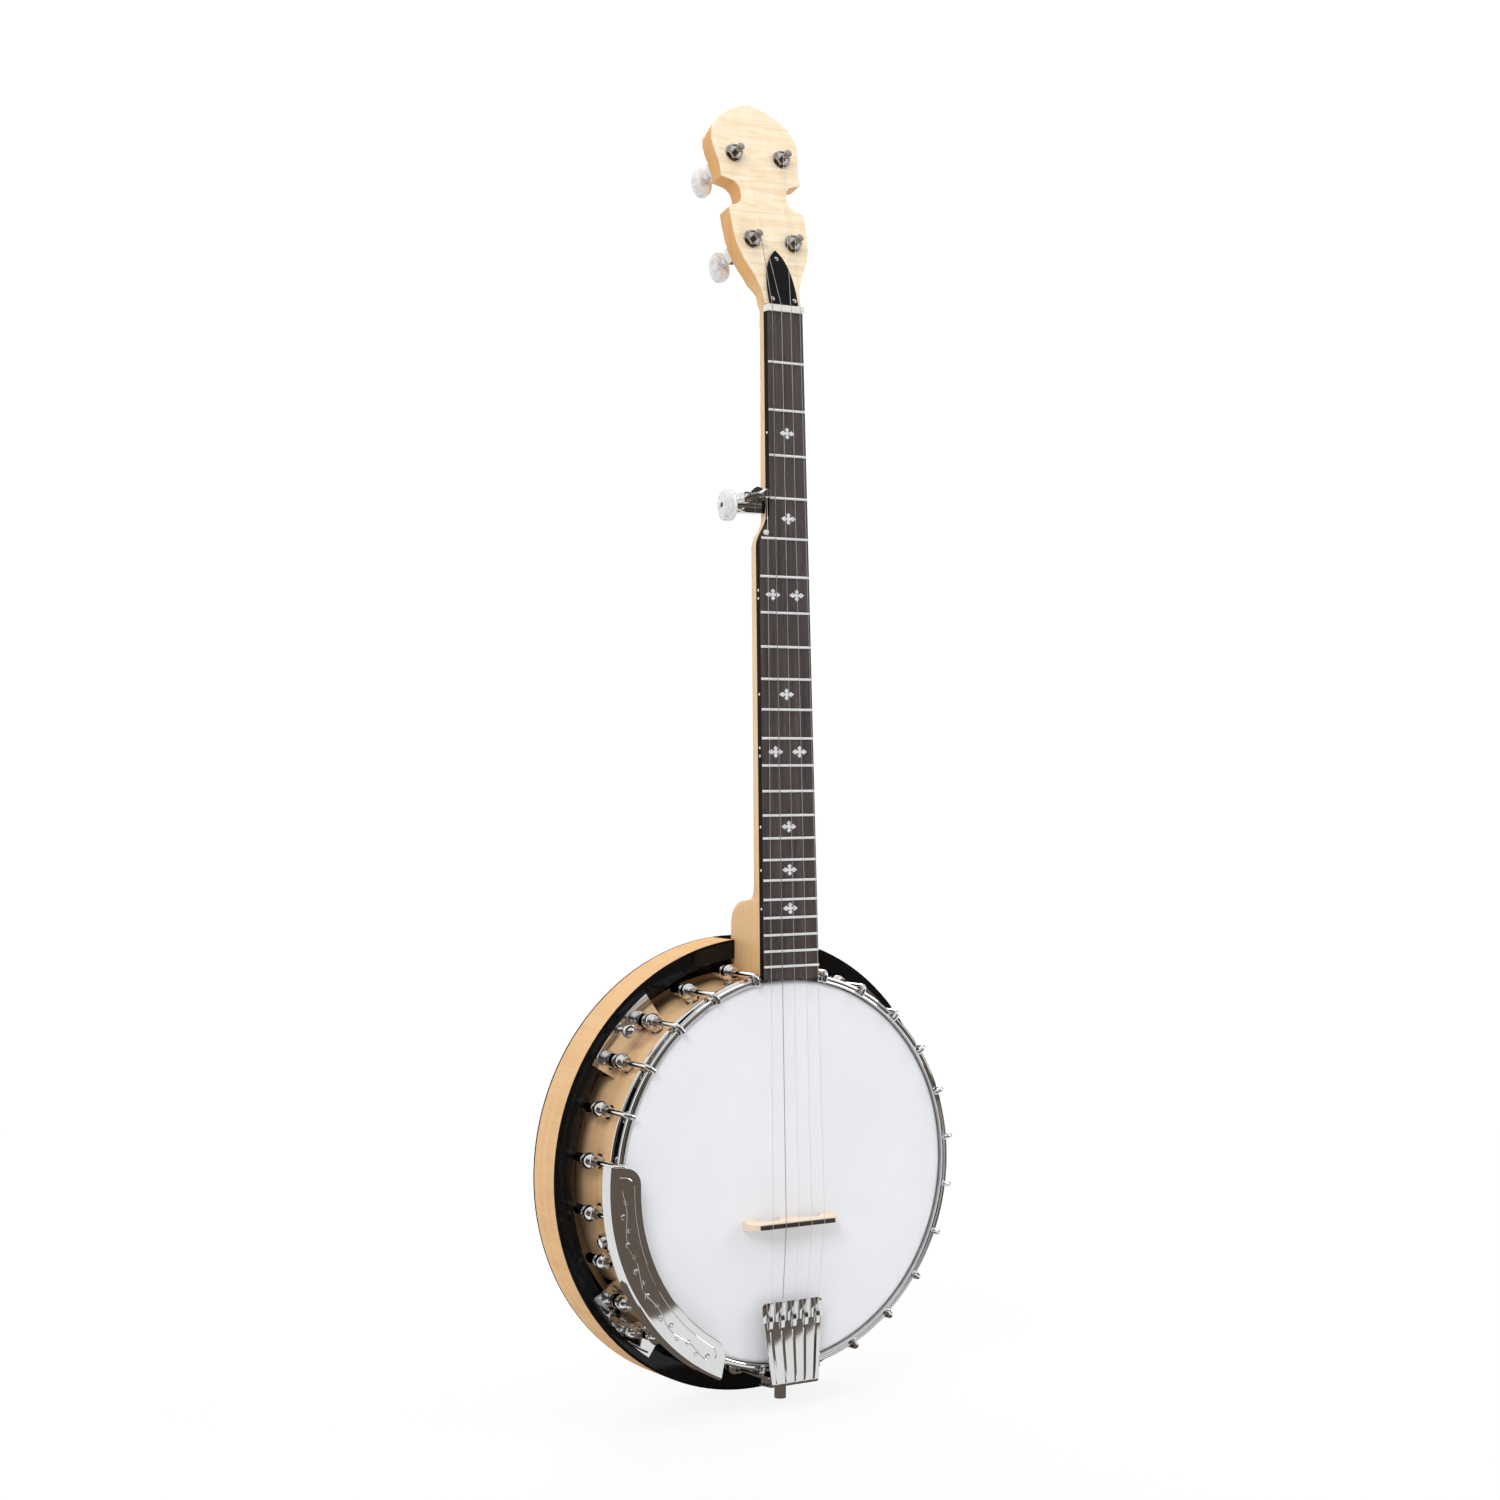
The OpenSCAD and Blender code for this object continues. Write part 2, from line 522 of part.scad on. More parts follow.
module hook_nuts() color("silver") for (a = hook_angles) at_angle(a)
    translate([0, 39.6, hook_ring_r]) difference() {
        union() {
            rotate([-90, 0, 0]) cylinder(r = 4.1, h = 11, $fn = 6);
            lathe([[0, 11], [3.5, 11], [3.1, 12.4], [0, 12.4]]);
        }
        bar_y(hook_r + 0.05, -1, 14);
    }

module bracket_shoes() color("silver") for (a = hook_angles) at_angle(a) difference() {
    union() {
        translate([0, shoe_y - 7.5, hook_ring_r]) lathe([[0, 0], [3.8, 0], [4.9, 1.6], [5.7, 4],
            [5.9, 7], [5.8, 12.6], [6.4, 13.2], [6.4, 14.9], [0, 14.9]]);
        translate([0, shoe_y, 0]) bar_z(4.6, rim_r + 0.05, hook_ring_r - 2);
    }
    translate([0, 0, hook_ring_r]) bar_y(hook_r + 0.05, 0, 60);
    translate([0, shoe_y, 0]) bar_z(2.05, 130, 143.6);
}

module shoe_bolts() color("gray") for (a = hook_angles) at_angle(a) translate([0, shoe_y, 0]) {
    bar_z(2, rim_r - rim_wall - 0.1, 143.4);
    difference() {
        translate([0, 0, rim_r - rim_wall - 3.4]) cylinder(r = 4.3, h = 3.2, $fn = 6);
        bar_z(2.02, 100, 130);
    }
}

// ---- L-brackets and thumbscrews ---------------------------------------------------
bracket_angles = [47.8, 133.8, -133.8, -47.8];
bracket_half = 11.8;
flange_r = 161.8;
flange_front = 43.1;
thumb_r = 157.5;
leg_screw_y = 54;
bracket_screw_turn = 3.2;

module resonator_brackets() color("silver") difference() {
    for (a = bracket_angles) on_pot() lathe_arc([[rim_r + 0.1, flange_front], [flange_r, flange_front],
        [flange_r, res_front - 0.02], [rim_r + 2.2, res_front - 0.02], [rim_r + 2.2, 60],
        [rim_r + 0.1, 60]], a - bracket_half, a + bracket_half);
    for (a = bracket_angles) at_angle(a) {
        translate([0, 0, thumb_r]) bar_y(1.85, 30, 60);
        for (d = [-1, 1]) rotate([0, d * bracket_screw_turn, 0])
            translate([0, leg_screw_y, 0]) bar_z(1.6, 130, 150);
    }
    for (a = hook_angles) at_angle(a) translate([0, 0, hook_ring_r]) bar_y(5, 38, 50);
}

module bracket_screws() color("gray") for (a = bracket_angles, d = [-1, 1])
    at_angle(a + d * bracket_screw_turn) translate([0, leg_screw_y, 0]) {
        bar_z(1.45, 131, rim_r + 2.3);
        translate([0, 0, rim_r + 2.22]) cylinder(r1 = 3, r2 = 2, h = 1.5);
    }

module thumbscrew(k) color("silver") at_angle(bracket_angles[k - 1]) translate([0, 0, thumb_r])
    lathe([[0, 25.6], [2.4, 25.8], [3.4, 26.6], [3.7, 27.4], [4.7, 27.6], [4.7, 32], [3.6, 32.6],
        [2.2, 33.4], [1.9, 35], [1.9, 40.4], [3.6, 41], [3.6, flange_front - 0.05],
        [1.75, flange_front - 0.05], [1.75, 55], [0, 55.6]]);

// ---- resonator --------------------------------------------------------------------
binding_w = 1.7;
binding_d = 2.4;

module neck_gap() on_pot() block([-res_gap_half, 40, 100], [res_gap_half, res_back + 0.01, 190]);

module resonator_wall() color("burlywood") difference() {
    on_pot() lathe([[res_in_r, res_front], [res_r - binding_w, res_front],
        [res_r - binding_w, res_front + binding_d], [res_r, res_front + binding_d], [res_r, res_back],
        [res_in_r, res_back]]);
    neck_gap();
    for (a = bracket_angles) at_angle(a) translate([0, 0, thumb_r]) bar_y(2.62, 40, 57.5);
}

module resonator_back() color("burlywood") on_pot() lathe(concat([[0, res_back + 2.4]],
    smooth([[118, res_back + 2.4], [136, res_back + 1.4], [148, res_back + 0.02]], 4),
    [[res_r - binding_w, res_back + 0.02]],
    smooth([[res_r - binding_w, res_back + 2.6], [158, res_back + 4.6], [142, res_back + 6.3],
        [124, res_flat]], 4), [[0, res_flat]]));

module resonator_bindings() color("#141414") difference() {
    on_pot() {
        lathe([[res_r - binding_w + 0.02, res_front], [res_r, res_front],
            [res_r, res_front + binding_d - 0.02],
            [res_r - binding_w + 0.02, res_front + binding_d - 0.02]]);
        lathe([[res_r - binding_w + 0.02, res_back + 0.02], [res_r, res_back + 0.02],
            [res_r, res_back + 1.6], [res_r - binding_w + 0.02, res_back + 2.6]]);
    }
    on_pot() block([-res_gap_half, 40, 100], [res_gap_half, res_back - 5, 190]);
}

module resonator_inserts() color("goldenrod") for (a = bracket_angles) at_angle(a)
    translate([0, 0, thumb_r]) difference() {
        bar_y(2.6, res_front + 0.02, 57.4);
        bar_y(1.8, 40, 60);
    }

// ---- armrest ------------------------------------------------------------------------
rest_face = -14.4;
rest_in_r = 132;
rest_out_r = 152;
rest_wall = 1.4;
rest_bend = 4.5;
function polar(r, a) = r * [sin(a), cos(a)];
// Rounded ends of the armrest seen from the front, upper end first
rest_plan = concat(smooth([polar(124, -93.1), polar(130.5, -90.1), polar(134.5, -86.5),
    polar(140, -84.1), polar(150, -82.7), polar(170, -81.3)], 4), [polar(215, -81), polar(215, -155.6)],
    smooth([polar(170, -155.5), polar(154, -155.3), polar(143, -154.8), polar(136, -153),
    polar(131, -149), polar(124, -144.5)], 4));

module armrest() color("silver") on_pot() intersection() {
    lathe(concat([[rest_in_r, rest_face], [rest_out_r, rest_face]],
        arc([rest_out_r, rest_face + rest_bend], rest_bend, -80, 0), [[rest_out_r + rest_bend, -1.5],
        [rest_out_r + rest_bend - rest_wall, -1.5]],
        arc([rest_out_r, rest_face + rest_bend], rest_bend - rest_wall, 0, -80),
        [[rest_in_r, rest_face + rest_wall]]));
    plate(rest_plan, -30, 10);
}

clamp_angles = [hook_angles[16] - 360 + 7.2, hook_angles[14] - 360 + 7.2];
module armrest_clamps() color("silver") for (a = clamp_angles) at_angle(a) {
    block([-5, rest_face + rest_wall + 0.12, 148.8], [5, 22, 150.4]);
    difference() {
        block([-5, 14, 145.6], [5, 22, 148.78]);
        translate([0, 18, 0]) bar_z(1.6, 140, 150);
    }
    translate([0, 18, 0]) lathe_z([[0, 150.42], [3.6, 150.42], [3.6, 153], [0, 153.6]]);
}

// ---- tailpiece ------------------------------------------------------------------------
tail_top = -93;
tail_bottom = -153;
tail_slope = 4.4;
tail_y = -6.6;
function tail_face(z) = tail_y - (tail_top - z) * sin(tail_slope);

// Five fanned fingers that carry the string loops, and the hooked foot
module tailpiece() color("silver") on_pot() difference() {
    union() {
        translate([0, tail_y, tail_top]) rotate([-tail_slope, 0, 0]) {
            plate([[-26.2, 0], [26.2, 0], [20.3, -61], [-20.3, -61]], -0.8, 1);
            for (i = [-2:2]) translate([i * tail_pitch, 0, -15]) bar_y(1.6, -3, 0);
        }
        block([-21, tail_face(tail_bottom) - 0.9, tail_bottom - 1.6], [21, 12, tail_bottom]);
    }
    translate([0, 8, 0]) bar_z(2.7, -170, -150);
    translate([0, tail_y, tail_top]) rotate([-tail_slope, 0, 0]) for (i = [-1.5:1.5])
        plate([[i * 10.6 - 0.8, 1], [i * 10.6 + 0.8, 1], [i * 9 + 0.4, -42], [i * 9 - 0.4, -42]], -2, 2);
}

module tailpiece_anchor() color("silver") on_pot() {
    difference() {
        block([-8, 5, -152], [8, 31, -146.2]);
        translate([0, 8, 0]) bar_z(2.5, -160, -140);
        translate([0, lag_y[0], 0]) bar_z(3.1, -160, -140);
    }
    difference() {
        translate([0, lag_y[0], 0]) bar_z(6.4, -146.18, -rim_r - 0.3);
        translate([0, lag_y[0], 0]) bar_z(3.1, -160, -130);
    }
    translate([0, 8, 0]) bar_z(2.4, -163, -146.4);
    translate([0, 8, -167]) difference() {
        cylinder(r = 4.3, h = 9.6, $fn = 12);
        bar_z(2.45, 2, 12);
    }
}

// ---- bridge -------------------------------------------------------------------------------
bridge_z = pot_drop - scale_len * cos(neck_lean);
saddle_t = 2.4;
// Outline of the bridge seen from the front, treble half: x across, y above the head
bridge_half = concat([[0, bridge_h - saddle_t], [32, bridge_h - saddle_t], [35, 10.5], [38.5, 8.2],
    [38.5, 0], [29, 0]], smooth([[29, 0.01], [26, 4.6], [17.5, 6.6], [9, 4.6], [6, 0]], 4), [[0, 0]]);

module bridge() color("burlywood") on_pot() translate([0, 0, bridge_z]) intersection() {
    linear_extrude(12, center = true)
        polygon([for (p = concat(bridge_half, mirrored(bridge_half))) [p.x, -p.y - 0.02]]);
    rotate([90, 0, 90]) linear_extrude(100, center = true)
        polygon([[0, -3.4], [0, 3.4], [-bridge_h, 1.4], [-bridge_h, -1.4]]);
}

module bridge_saddle() color("#1c1614") on_pot() translate([0, 0, bridge_z]) difference() {
    block([-32, -bridge_h, -1.5], [32, -bridge_h + saddle_t - 0.04, 1.5]);
    for (k = [1:5]) translate([bridge_x(k), -bridge_h, 0]) bar_z(0.4, -3, 3);
}

// ---- strings ---------------------------------------------------------------------------------
nut_pitch = 8.15;
gauges = [0.33, 0.25, 0.3, 0.33, 0.56];
function nut_x(k) = (nut_treble - nut_bass) / 2 + nut_pitch * (k - 2.5);
function bridge_x(k) = bridge_pitch * (k - 3);
function tail_x(k) = tail_pitch * (k - 3);
tail_hook = [-9.4, -105.8];

// Places of a long string (k = 1 to 4 from the bass side), from its post to the tailpiece
function long_path(k) = [peg_pt([peg_x + tuner_x[k - 1] + (k < 3 ? 2.9 : -2.9), -8.1, tuner_z[k - 1]]),
    neck_pt([nut_x(k), -1.6, 4]), neck_pt([nut_x(k), -1.6, 0]),
    pot_pt([bridge_x(k + 1), -bridge_h - 0.1, bridge_z]),
    pot_pt([tail_x(k + 1), tail_hook[0], tail_hook[1]])];
// Places of the short fifth string
short_path = [neck_pt([fifth_post_x + 2.9, -3.1, fifth_post_z]), neck_pt([pip_x, -2.9, -pip_s]),
    pot_pt([bridge_x(1), -bridge_h - 0.1, bridge_z]), pot_pt([tail_x(1), tail_hook[0], tail_hook[1]])];

module run(path, r) union() {
    for (i = [0:len(path) - 2]) rod(path[i], path[i + 1], r);
}

module plain_strings() color("lightgray") {
    for (k = [2:4]) run(long_path(k), gauges[k - 1] / 2);
    run(short_path, gauges[0] / 2);
}

module wound_string() color("lightgray") run(long_path(1), gauges[4] / 2);

neck();
peghead_overlay();
fretboard();
frets();
position_inlays();
side_dots();
string_nut();
fifth_string_pip();
truss_rod_cover();
truss_cover_screws();
truss_rod();
neck_lag_bolts();
coordinator_rods();
coordinator_nuts();
tuner_housings();
tuner_bushings();
tuner_post(1);  // tuner_post_1
tuner_post(2);  // tuner_post_2
tuner_post(3);  // tuner_post_3
tuner_post(4);  // tuner_post_4
tuner_shaft(1);  // tuner_shaft_1
tuner_shaft(2);  // tuner_shaft_2
tuner_shaft(3);  // tuner_shaft_3
tuner_shaft(4);  // tuner_shaft_4
tuner_button(1);  // tuner_button_1
tuner_button(2);  // tuner_button_2
tuner_button(3);  // tuner_button_3
tuner_button(4);  // tuner_button_4
fifth_peg_housing();
fifth_peg_post();
fifth_peg_shaft();
fifth_peg_button();
rim();
tone_ring();
head();
flesh_hoop();
tension_hoop();
bracket_hooks();
hook_nuts();
bracket_shoes();
shoe_bolts();
resonator_brackets();
bracket_screws();
thumbscrew(1);  // thumbscrew_1
thumbscrew(2);  // thumbscrew_2
thumbscrew(3);  // thumbscrew_3
thumbscrew(4);  // thumbscrew_4
resonator_wall();
resonator_back();
resonator_bindings();
resonator_inserts();
armrest();
armrest_clamps();
tailpiece();
tailpiece_anchor();
bridge();
bridge_saddle();
plain_strings();
wound_string();
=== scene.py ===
import math

import bmesh
import bpy
from mathutils import Matrix, Vector


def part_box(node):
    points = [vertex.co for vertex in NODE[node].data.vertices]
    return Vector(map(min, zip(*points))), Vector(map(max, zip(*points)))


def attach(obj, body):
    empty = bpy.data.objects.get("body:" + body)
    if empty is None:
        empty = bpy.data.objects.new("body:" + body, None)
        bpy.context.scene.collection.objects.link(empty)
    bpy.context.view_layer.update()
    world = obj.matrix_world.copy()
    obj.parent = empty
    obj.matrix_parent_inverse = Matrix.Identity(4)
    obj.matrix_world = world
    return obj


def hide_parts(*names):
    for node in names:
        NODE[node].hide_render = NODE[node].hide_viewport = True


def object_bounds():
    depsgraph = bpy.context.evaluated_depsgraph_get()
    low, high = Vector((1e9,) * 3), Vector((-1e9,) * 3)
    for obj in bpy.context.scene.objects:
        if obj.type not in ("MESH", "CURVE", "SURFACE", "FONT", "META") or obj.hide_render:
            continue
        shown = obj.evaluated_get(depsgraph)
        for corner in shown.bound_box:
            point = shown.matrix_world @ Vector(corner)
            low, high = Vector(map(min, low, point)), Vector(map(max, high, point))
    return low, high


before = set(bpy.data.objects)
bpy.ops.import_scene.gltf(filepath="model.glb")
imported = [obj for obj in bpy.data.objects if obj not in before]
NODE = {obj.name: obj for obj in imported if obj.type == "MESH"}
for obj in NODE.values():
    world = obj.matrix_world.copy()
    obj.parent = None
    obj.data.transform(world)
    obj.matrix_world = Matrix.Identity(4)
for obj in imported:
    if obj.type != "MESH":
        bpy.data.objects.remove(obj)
cad_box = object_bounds()
MM = 0.001

# ---- frames: the pot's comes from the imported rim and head, the neck's from its place and angles ----
LEAN = math.radians(2.25)      # neck behind the head's plane
TILT = math.radians(15)        # peghead behind the neck
NECK_Y = -0.010                # front of the fingerboard at the nut
rim_lo, rim_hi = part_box("rim")
POT = Vector(((rim_lo.x + rim_hi.x) / 2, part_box("head")[0].y, (rim_lo.z + rim_hi.z) / 2))
POT_M = Matrix.Translation(POT)
NECK_M = Matrix.Translation((0, NECK_Y, 0)) @ Matrix.Rotation(-LEAN, 4, "X")
PEG_M = NECK_M @ Matrix.Rotation(-TILT, 4, "X")


def at_angle(a):
    """Pot frame in millimetres turned to angle a in degrees, from the neck to the treble side."""
    return POT_M @ Matrix.Rotation(math.radians(a), 4, "Y")


# ---- mesh helpers, all sizes in millimetres in a local frame ------------------------------
def piece(name, verts, faces, m, mat, body, smooth=30.0, replaces=(), slot=None):
    """A mesh object from points in millimetres in frame m, stored in metres in the model's own frame."""
    me = bpy.data.meshes.new(name)
    me.from_pydata([m @ (Vector(v) * MM) for v in verts], [], faces)
    me.materials.append(mat)
    ob = bpy.data.objects.new(name, me)
    bpy.context.scene.collection.objects.link(ob)
    finish_mesh(ob, smooth)
    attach(ob, body)
    if replaces:
        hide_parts(*replaces)
    return ob


def finish_mesh(ob, smooth):
    """Welds double points, turns faces outward and keeps edges sharper than smooth degrees sharp."""
    bm = bmesh.new()
    bm.from_mesh(ob.data)
    bmesh.ops.remove_doubles(bm, verts=bm.verts, dist=1e-7)
    bmesh.ops.recalc_face_normals(bm, faces=bm.faces)
    limit = math.radians(smooth)
    for f in bm.faces:
        f.smooth = True
    for e in bm.edges:
        e.smooth = not (len(e.link_faces) == 2 and e.calc_face_angle(0) > limit)
    bm.to_mesh(ob.data)
    bm.free()


def join_parts(parts):
    """Several (verts, faces) lists as one."""
    verts, faces = [], []
    for v, f in parts:
        n = len(verts)
        verts += v
        faces += [tuple(i + n for i in face) for face in f]
    return verts, faces


def moved(part, m):
    """A (verts, faces) part with its points carried through m."""
    return [m @ Vector(v) for v in part[0]], part[1]


def turned(profile, steps=64, start=0.0, end=360.0):
    """Solid of revolution about Y from a closed outline of (radius, y) points, or a part of a turn of it."""
    full = abs(end - start) >= 359.99
    count = steps if full else steps + 1
    verts, faces = [], []
    for i in range(count):
        a = math.radians(start + (end - start) * i / steps)
        for r, y in profile:
            verts.append((r * math.sin(a), y, r * math.cos(a)))
    n = len(profile)
    for i in range(steps):
        j = (i + 1) % count
        for k in range(n):
            l = (k + 1) % n
            faces.append((i * n + k, j * n + k, j * n + l, i * n + l))
    if not full:
        faces.append(tuple(range(n)))
        faces.append(tuple(reversed(range((count - 1) * n, count * n))))
    return verts, faces


def stack(rings, cap=True):
    """Skin over rings of equal length, closed at both ends if cap is true."""
    n = len(rings[0])
    verts = [tuple(p) for r in rings for p in r]
    faces = []
    for j in range(len(rings) - 1):
        for i in range(n):
            k = (i + 1) % n
            faces.append((j * n + i, j * n + k, (j + 1) * n + k, (j + 1) * n + i))
    if cap:
        faces.append(tuple(range(n)))
        faces.append(tuple(reversed(range((len(rings) - 1) * n, len(rings) * n))))
    return verts, faces


def tube(path, r, sides=12, closed=False):
    """Round tube of radius r (a number or one per point) along a path."""
    pts = [Vector(p) for p in path]
    n = len(pts)
    radii = r if isinstance(r, (list, tuple)) else [r] * n
    turns = [2 * math.pi * k / sides for k in range(sides)]
    rings, normal = [], None
    for i, p in enumerate(pts):
        a = pts[i - 1] if (i or closed) else p
        b = pts[(i + 1) % n] if (i < n - 1 or closed) else p
        t = (b - a).normalized()
        if normal is None:
            normal = t.orthogonal().normalized()
        normal = (normal - t * normal.dot(t)).normalized()
        side = t.cross(normal)
        rings.append([p + (normal * math.cos(w) + side * math.sin(w)) * radii[i] for w in turns])
    return stack(rings + [rings[0]], cap=False) if closed else stack(rings)


def plate(outline, y0, y1, bevel=0.0):
    """Flat plate from an outline in x and z between two depths, with optional bevelled rims."""
    def inset(d):
        out, n = [], len(outline)
        for i in range(n):
            p = Vector(outline[i])
            a, b = p - Vector(outline[i - 1]), Vector(outline[(i + 1) % n]) - p
            a = a.normalized() if a.length > 1e-9 else b.normalized()
            b = b.normalized() if b.length > 1e-9 else a
            nrm = Vector((a.y + b.y, -(a.x + b.x)))
            k = max(nrm.length, 1e-6)
            nrm = nrm / k
            out.append(p - nrm * d * orient / max(0.4, k / 2))
        return out
    twice_area = sum(outline[i - 1][0] * outline[i][1] - outline[i][0] * outline[i - 1][1]
                     for i in range(len(outline)))
    orient = 1 if twice_area > 0 else -1
    if bevel:
        levels = [(y0, bevel), (y0 + bevel * 0.3, bevel * 0.3), (y0 + bevel, 0), (y1 - bevel, 0),
                  (y1 - bevel * 0.3, bevel * 0.3), (y1, bevel)]
    else:
        levels = [(y0, 0), (y1, 0)]
    return stack([[(q[0], y, q[1]) for q in inset(d)] for y, d in levels])


def catmull(points, steps=6):
    """Smooth curve through points."""
    out = []
    for i in range(len(points) - 1):
        a, b = Vector(points[max(i - 1, 0)]), Vector(points[i])
        c, d = Vector(points[i + 1]), Vector(points[min(i + 2, len(points) - 1)])
        for j in range(steps):
            t = j / steps
            out.append(0.5 * (2 * b + (c - a) * t + (2 * a - 5 * b + 4 * c - d) * t * t
                              + (3 * b - 3 * c + d - a) * t ** 3))
    out.append(Vector(points[-1]))
    return out


def arc(c, r, a0, a1, n=8):
    """Points on a circle about c between two angles in degrees."""
    return [(c[0] + r * math.cos(math.radians(a0 + (a1 - a0) * i / n)),
             c[1] + r * math.sin(math.radians(a0 + (a1 - a0) * i / n))) for i in range(n + 1)]


# ---- material helpers, all sizes in metres -------------------------------------------------
WALL_R = 0.16           # radius on which grain lengths round the pot are measured
BACK_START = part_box("resonator_wall")[1].y + 0.00015     # depth just behind the resonator's wall


class Shader:
    """A principled material and short calls that add nodes to it."""

    def __init__(self, name, **inputs):
        self.mat = bpy.data.materials.new(name)
        self.mat.use_nodes = True
        self.tree = self.mat.node_tree
        self.bsdf = self.tree.nodes["Principled BSDF"]
        for key, value in inputs.items():
            self.put(key.replace("_", " "), value)

    def put(self, key, value):
        """Links or sets an input of the principled shader; a tuple is an opaque colour."""
        socket = self.bsdf.inputs[key]
        if isinstance(value, bpy.types.NodeSocket):
            self.tree.links.new(value, socket)
        else:
            socket.default_value = (*value, 1.0) if isinstance(value, tuple) else value

    def node(self, kind, **settings):
        n = self.tree.nodes.new("ShaderNode" + kind)
        for key, value in settings.items():
            setattr(n, key, value)
        return n

    def feed(self, n, key, value):
        if isinstance(value, bpy.types.NodeSocket):
            self.tree.links.new(value, n.inputs[key])
        else:
            n.inputs[key].default_value = value

    def place(self):
        return self.node("TexCoord").outputs["Object"]

    def math(self, operation, a, b=0.0):
        n = self.node("Math", operation=operation)
        self.feed(n, 0, a)
        self.feed(n, 1, b)
        return n.outputs[0]

    def vec(self, x, y, z):
        n = self.node("CombineXYZ")
        for i, v in enumerate((x, y, z)):
            self.feed(n, i, v)
        return n.outputs[0]

    def split(self, v):
        n = self.node("SeparateXYZ")
        self.feed(n, 0, v)
        return n.outputs

    def scaled(self, v, x, y, z):
        n = self.node("Mapping")
        self.feed(n, "Vector", v)
        n.inputs["Scale"].default_value = (x, y, z)
        return n.outputs[0]

    def noise(self, v, scale=1.0, detail=4.0, rough=0.55, distort=0.0):
        n = self.node("TexNoise")
        self.feed(n, "Vector", v)
        n.inputs["Scale"].default_value = scale
        n.inputs["Detail"].default_value = detail
        n.inputs["Roughness"].default_value = rough
        n.inputs["Distortion"].default_value = distort
        return n.outputs["Fac"]

    def ramp(self, fac, *stops):
        n = self.node("ValToRGB")
        self.feed(n, "Fac", fac)
        e = n.color_ramp.elements
        while len(e) < len(stops):
            e.new(0.5)
        for i, (pos, col) in enumerate(stops):
            e[i].position = pos
            e[i].color = (*col, 1.0) if isinstance(col, (tuple, list)) else (col, col, col, 1.0)
        return n.outputs["Color"]

    def mix(self, fac, a, b, blend="MIX"):
        n = self.node("Mix", data_type="RGBA", blend_type=blend)
        self.feed(n, 0, fac)
        for i, v in ((6, a), (7, b)):
            self.feed(n, i, (*v, 1.0) if isinstance(v, (tuple, list)) else v)
        return n.outputs[2]

    def bump(self, height, strength, distance):
        n = self.node("Bump")
        n.inputs["Strength"].default_value = strength
        n.inputs["Distance"].default_value = distance
        self.feed(n, "Height", height)
        self.put("Normal", n.outputs[0])

    def ring_place(self):
        """Length around the pot, depth and radius, in metres."""
        x, y, z = self.split(self.place())
        zc = self.math("SUBTRACT", z, POT.z)
        angle = self.math("ARCTAN2", x, zc)
        r = self.math("SQRT", self.math("ADD", self.math("MULTIPLY", x, x), self.math("MULTIPLY", zc, zc)))
        return self.math("MULTIPLY", angle, WALL_R), y, r


def wood(name, light, mid, dark, along="z", rough=0.3, coat=0.5, figure=0.0):
    """Fine straight grain, soft growth bands and pores.

    The grain runs along z, along x, round the pot (ring), or round it with a straight-grained back (bowl).
    """
    s = Shader(name)
    if along in ("ring", "bowl"):
        u, v, w = s.ring_place()
        base = s.vec(v, w, u)
        if along == "bowl":
            base = s.mix(s.math("GREATER_THAN", v, BACK_START), base, s.place())
    elif along == "x":
        x, y, z = s.split(s.place())
        base = s.vec(z, y, x)
    else:
        base = s.place()
    bands = s.noise(s.scaled(base, 90, 90, 3.5), 1.0, 5.0, 0.6, 0.6)
    fine = s.noise(s.scaled(base, 900, 900, 16), 1.0, 3.0, 0.7)
    col = s.ramp(bands, (0.28, dark), (0.5, mid), (0.72, light))
    col = s.mix(0.35, col, s.ramp(fine, (0.35, dark), (0.55, mid), (0.75, light)))
    if figure:
        curl = s.noise(s.scaled(base, 10, 10, 120), 1.0, 2.0, 0.5, 1.2)
        col = s.mix(s.math("MULTIPLY", s.ramp(curl, (0.42, 0.0), (0.6, 1.0)), figure), col, light)
    s.put("Base Color", col)
    s.put("Roughness", s.ramp(fine, (0.3, rough * 0.85), (0.7, rough * 1.2)))
    s.put("Coat Weight", coat)
    s.put("Coat Roughness", 0.08)
    s.bump(fine, 0.12, 0.00008)
    return s


def metal(name, color, rough, brushed=False, smudge=0.03, sheen=1.0):
    """Polished metal with faint waves, or brushed metal with fine lines; smudge adds roughness in patches."""
    s = Shader(name, Metallic=sheen)
    p = s.place()
    broad = s.noise(s.scaled(p, 1, 1, 1), 45.0, 3.0)
    s.put("Base Color", s.ramp(broad, (0.3, tuple(c * 0.93 for c in color)), (0.7, color)))
    s.put("Roughness", s.ramp(broad, (0.3, rough), (0.7, rough + smudge)))
    if brushed:
        s.bump(s.noise(s.scaled(p, 2500, 2500, 160), 1.0, 2.0), 0.15, 0.00003)
    else:
        s.bump(s.noise(p, 220.0, 2.0), 0.03, 0.0001)
    return s


# ---- materials -----------------------------------------------------------------------------
def neck_wood():
    """Straight maple, darker and warmer at the heel and on the peghead."""
    s = wood("maple_neck", (0.96, 0.74, 0.49), (0.91, 0.66, 0.40), (0.79, 0.51, 0.27), coat=0.08)
    s.put("Specular IOR Level", 0.18)
    plain = s.bsdf.inputs["Base Color"].links[0].from_socket
    z = s.math("MULTIPLY", s.split(s.place())[2], -1.0)
    heel = s.ramp(z, (0.34, 0.0), (0.42, 1.0))
    peghead = s.ramp(s.math("ADD", z, 0.1), (0.07, 1.0), (0.11, 0.0))
    col = s.mix(heel, plain, s.mix(1.0, plain, (1.0, 0.87, 0.70), "MULTIPLY"))
    s.put("Base Color", s.mix(peghead, col, s.mix(1.0, plain, (0.86, 0.66, 0.42), "MULTIPLY")))
    return s.mat


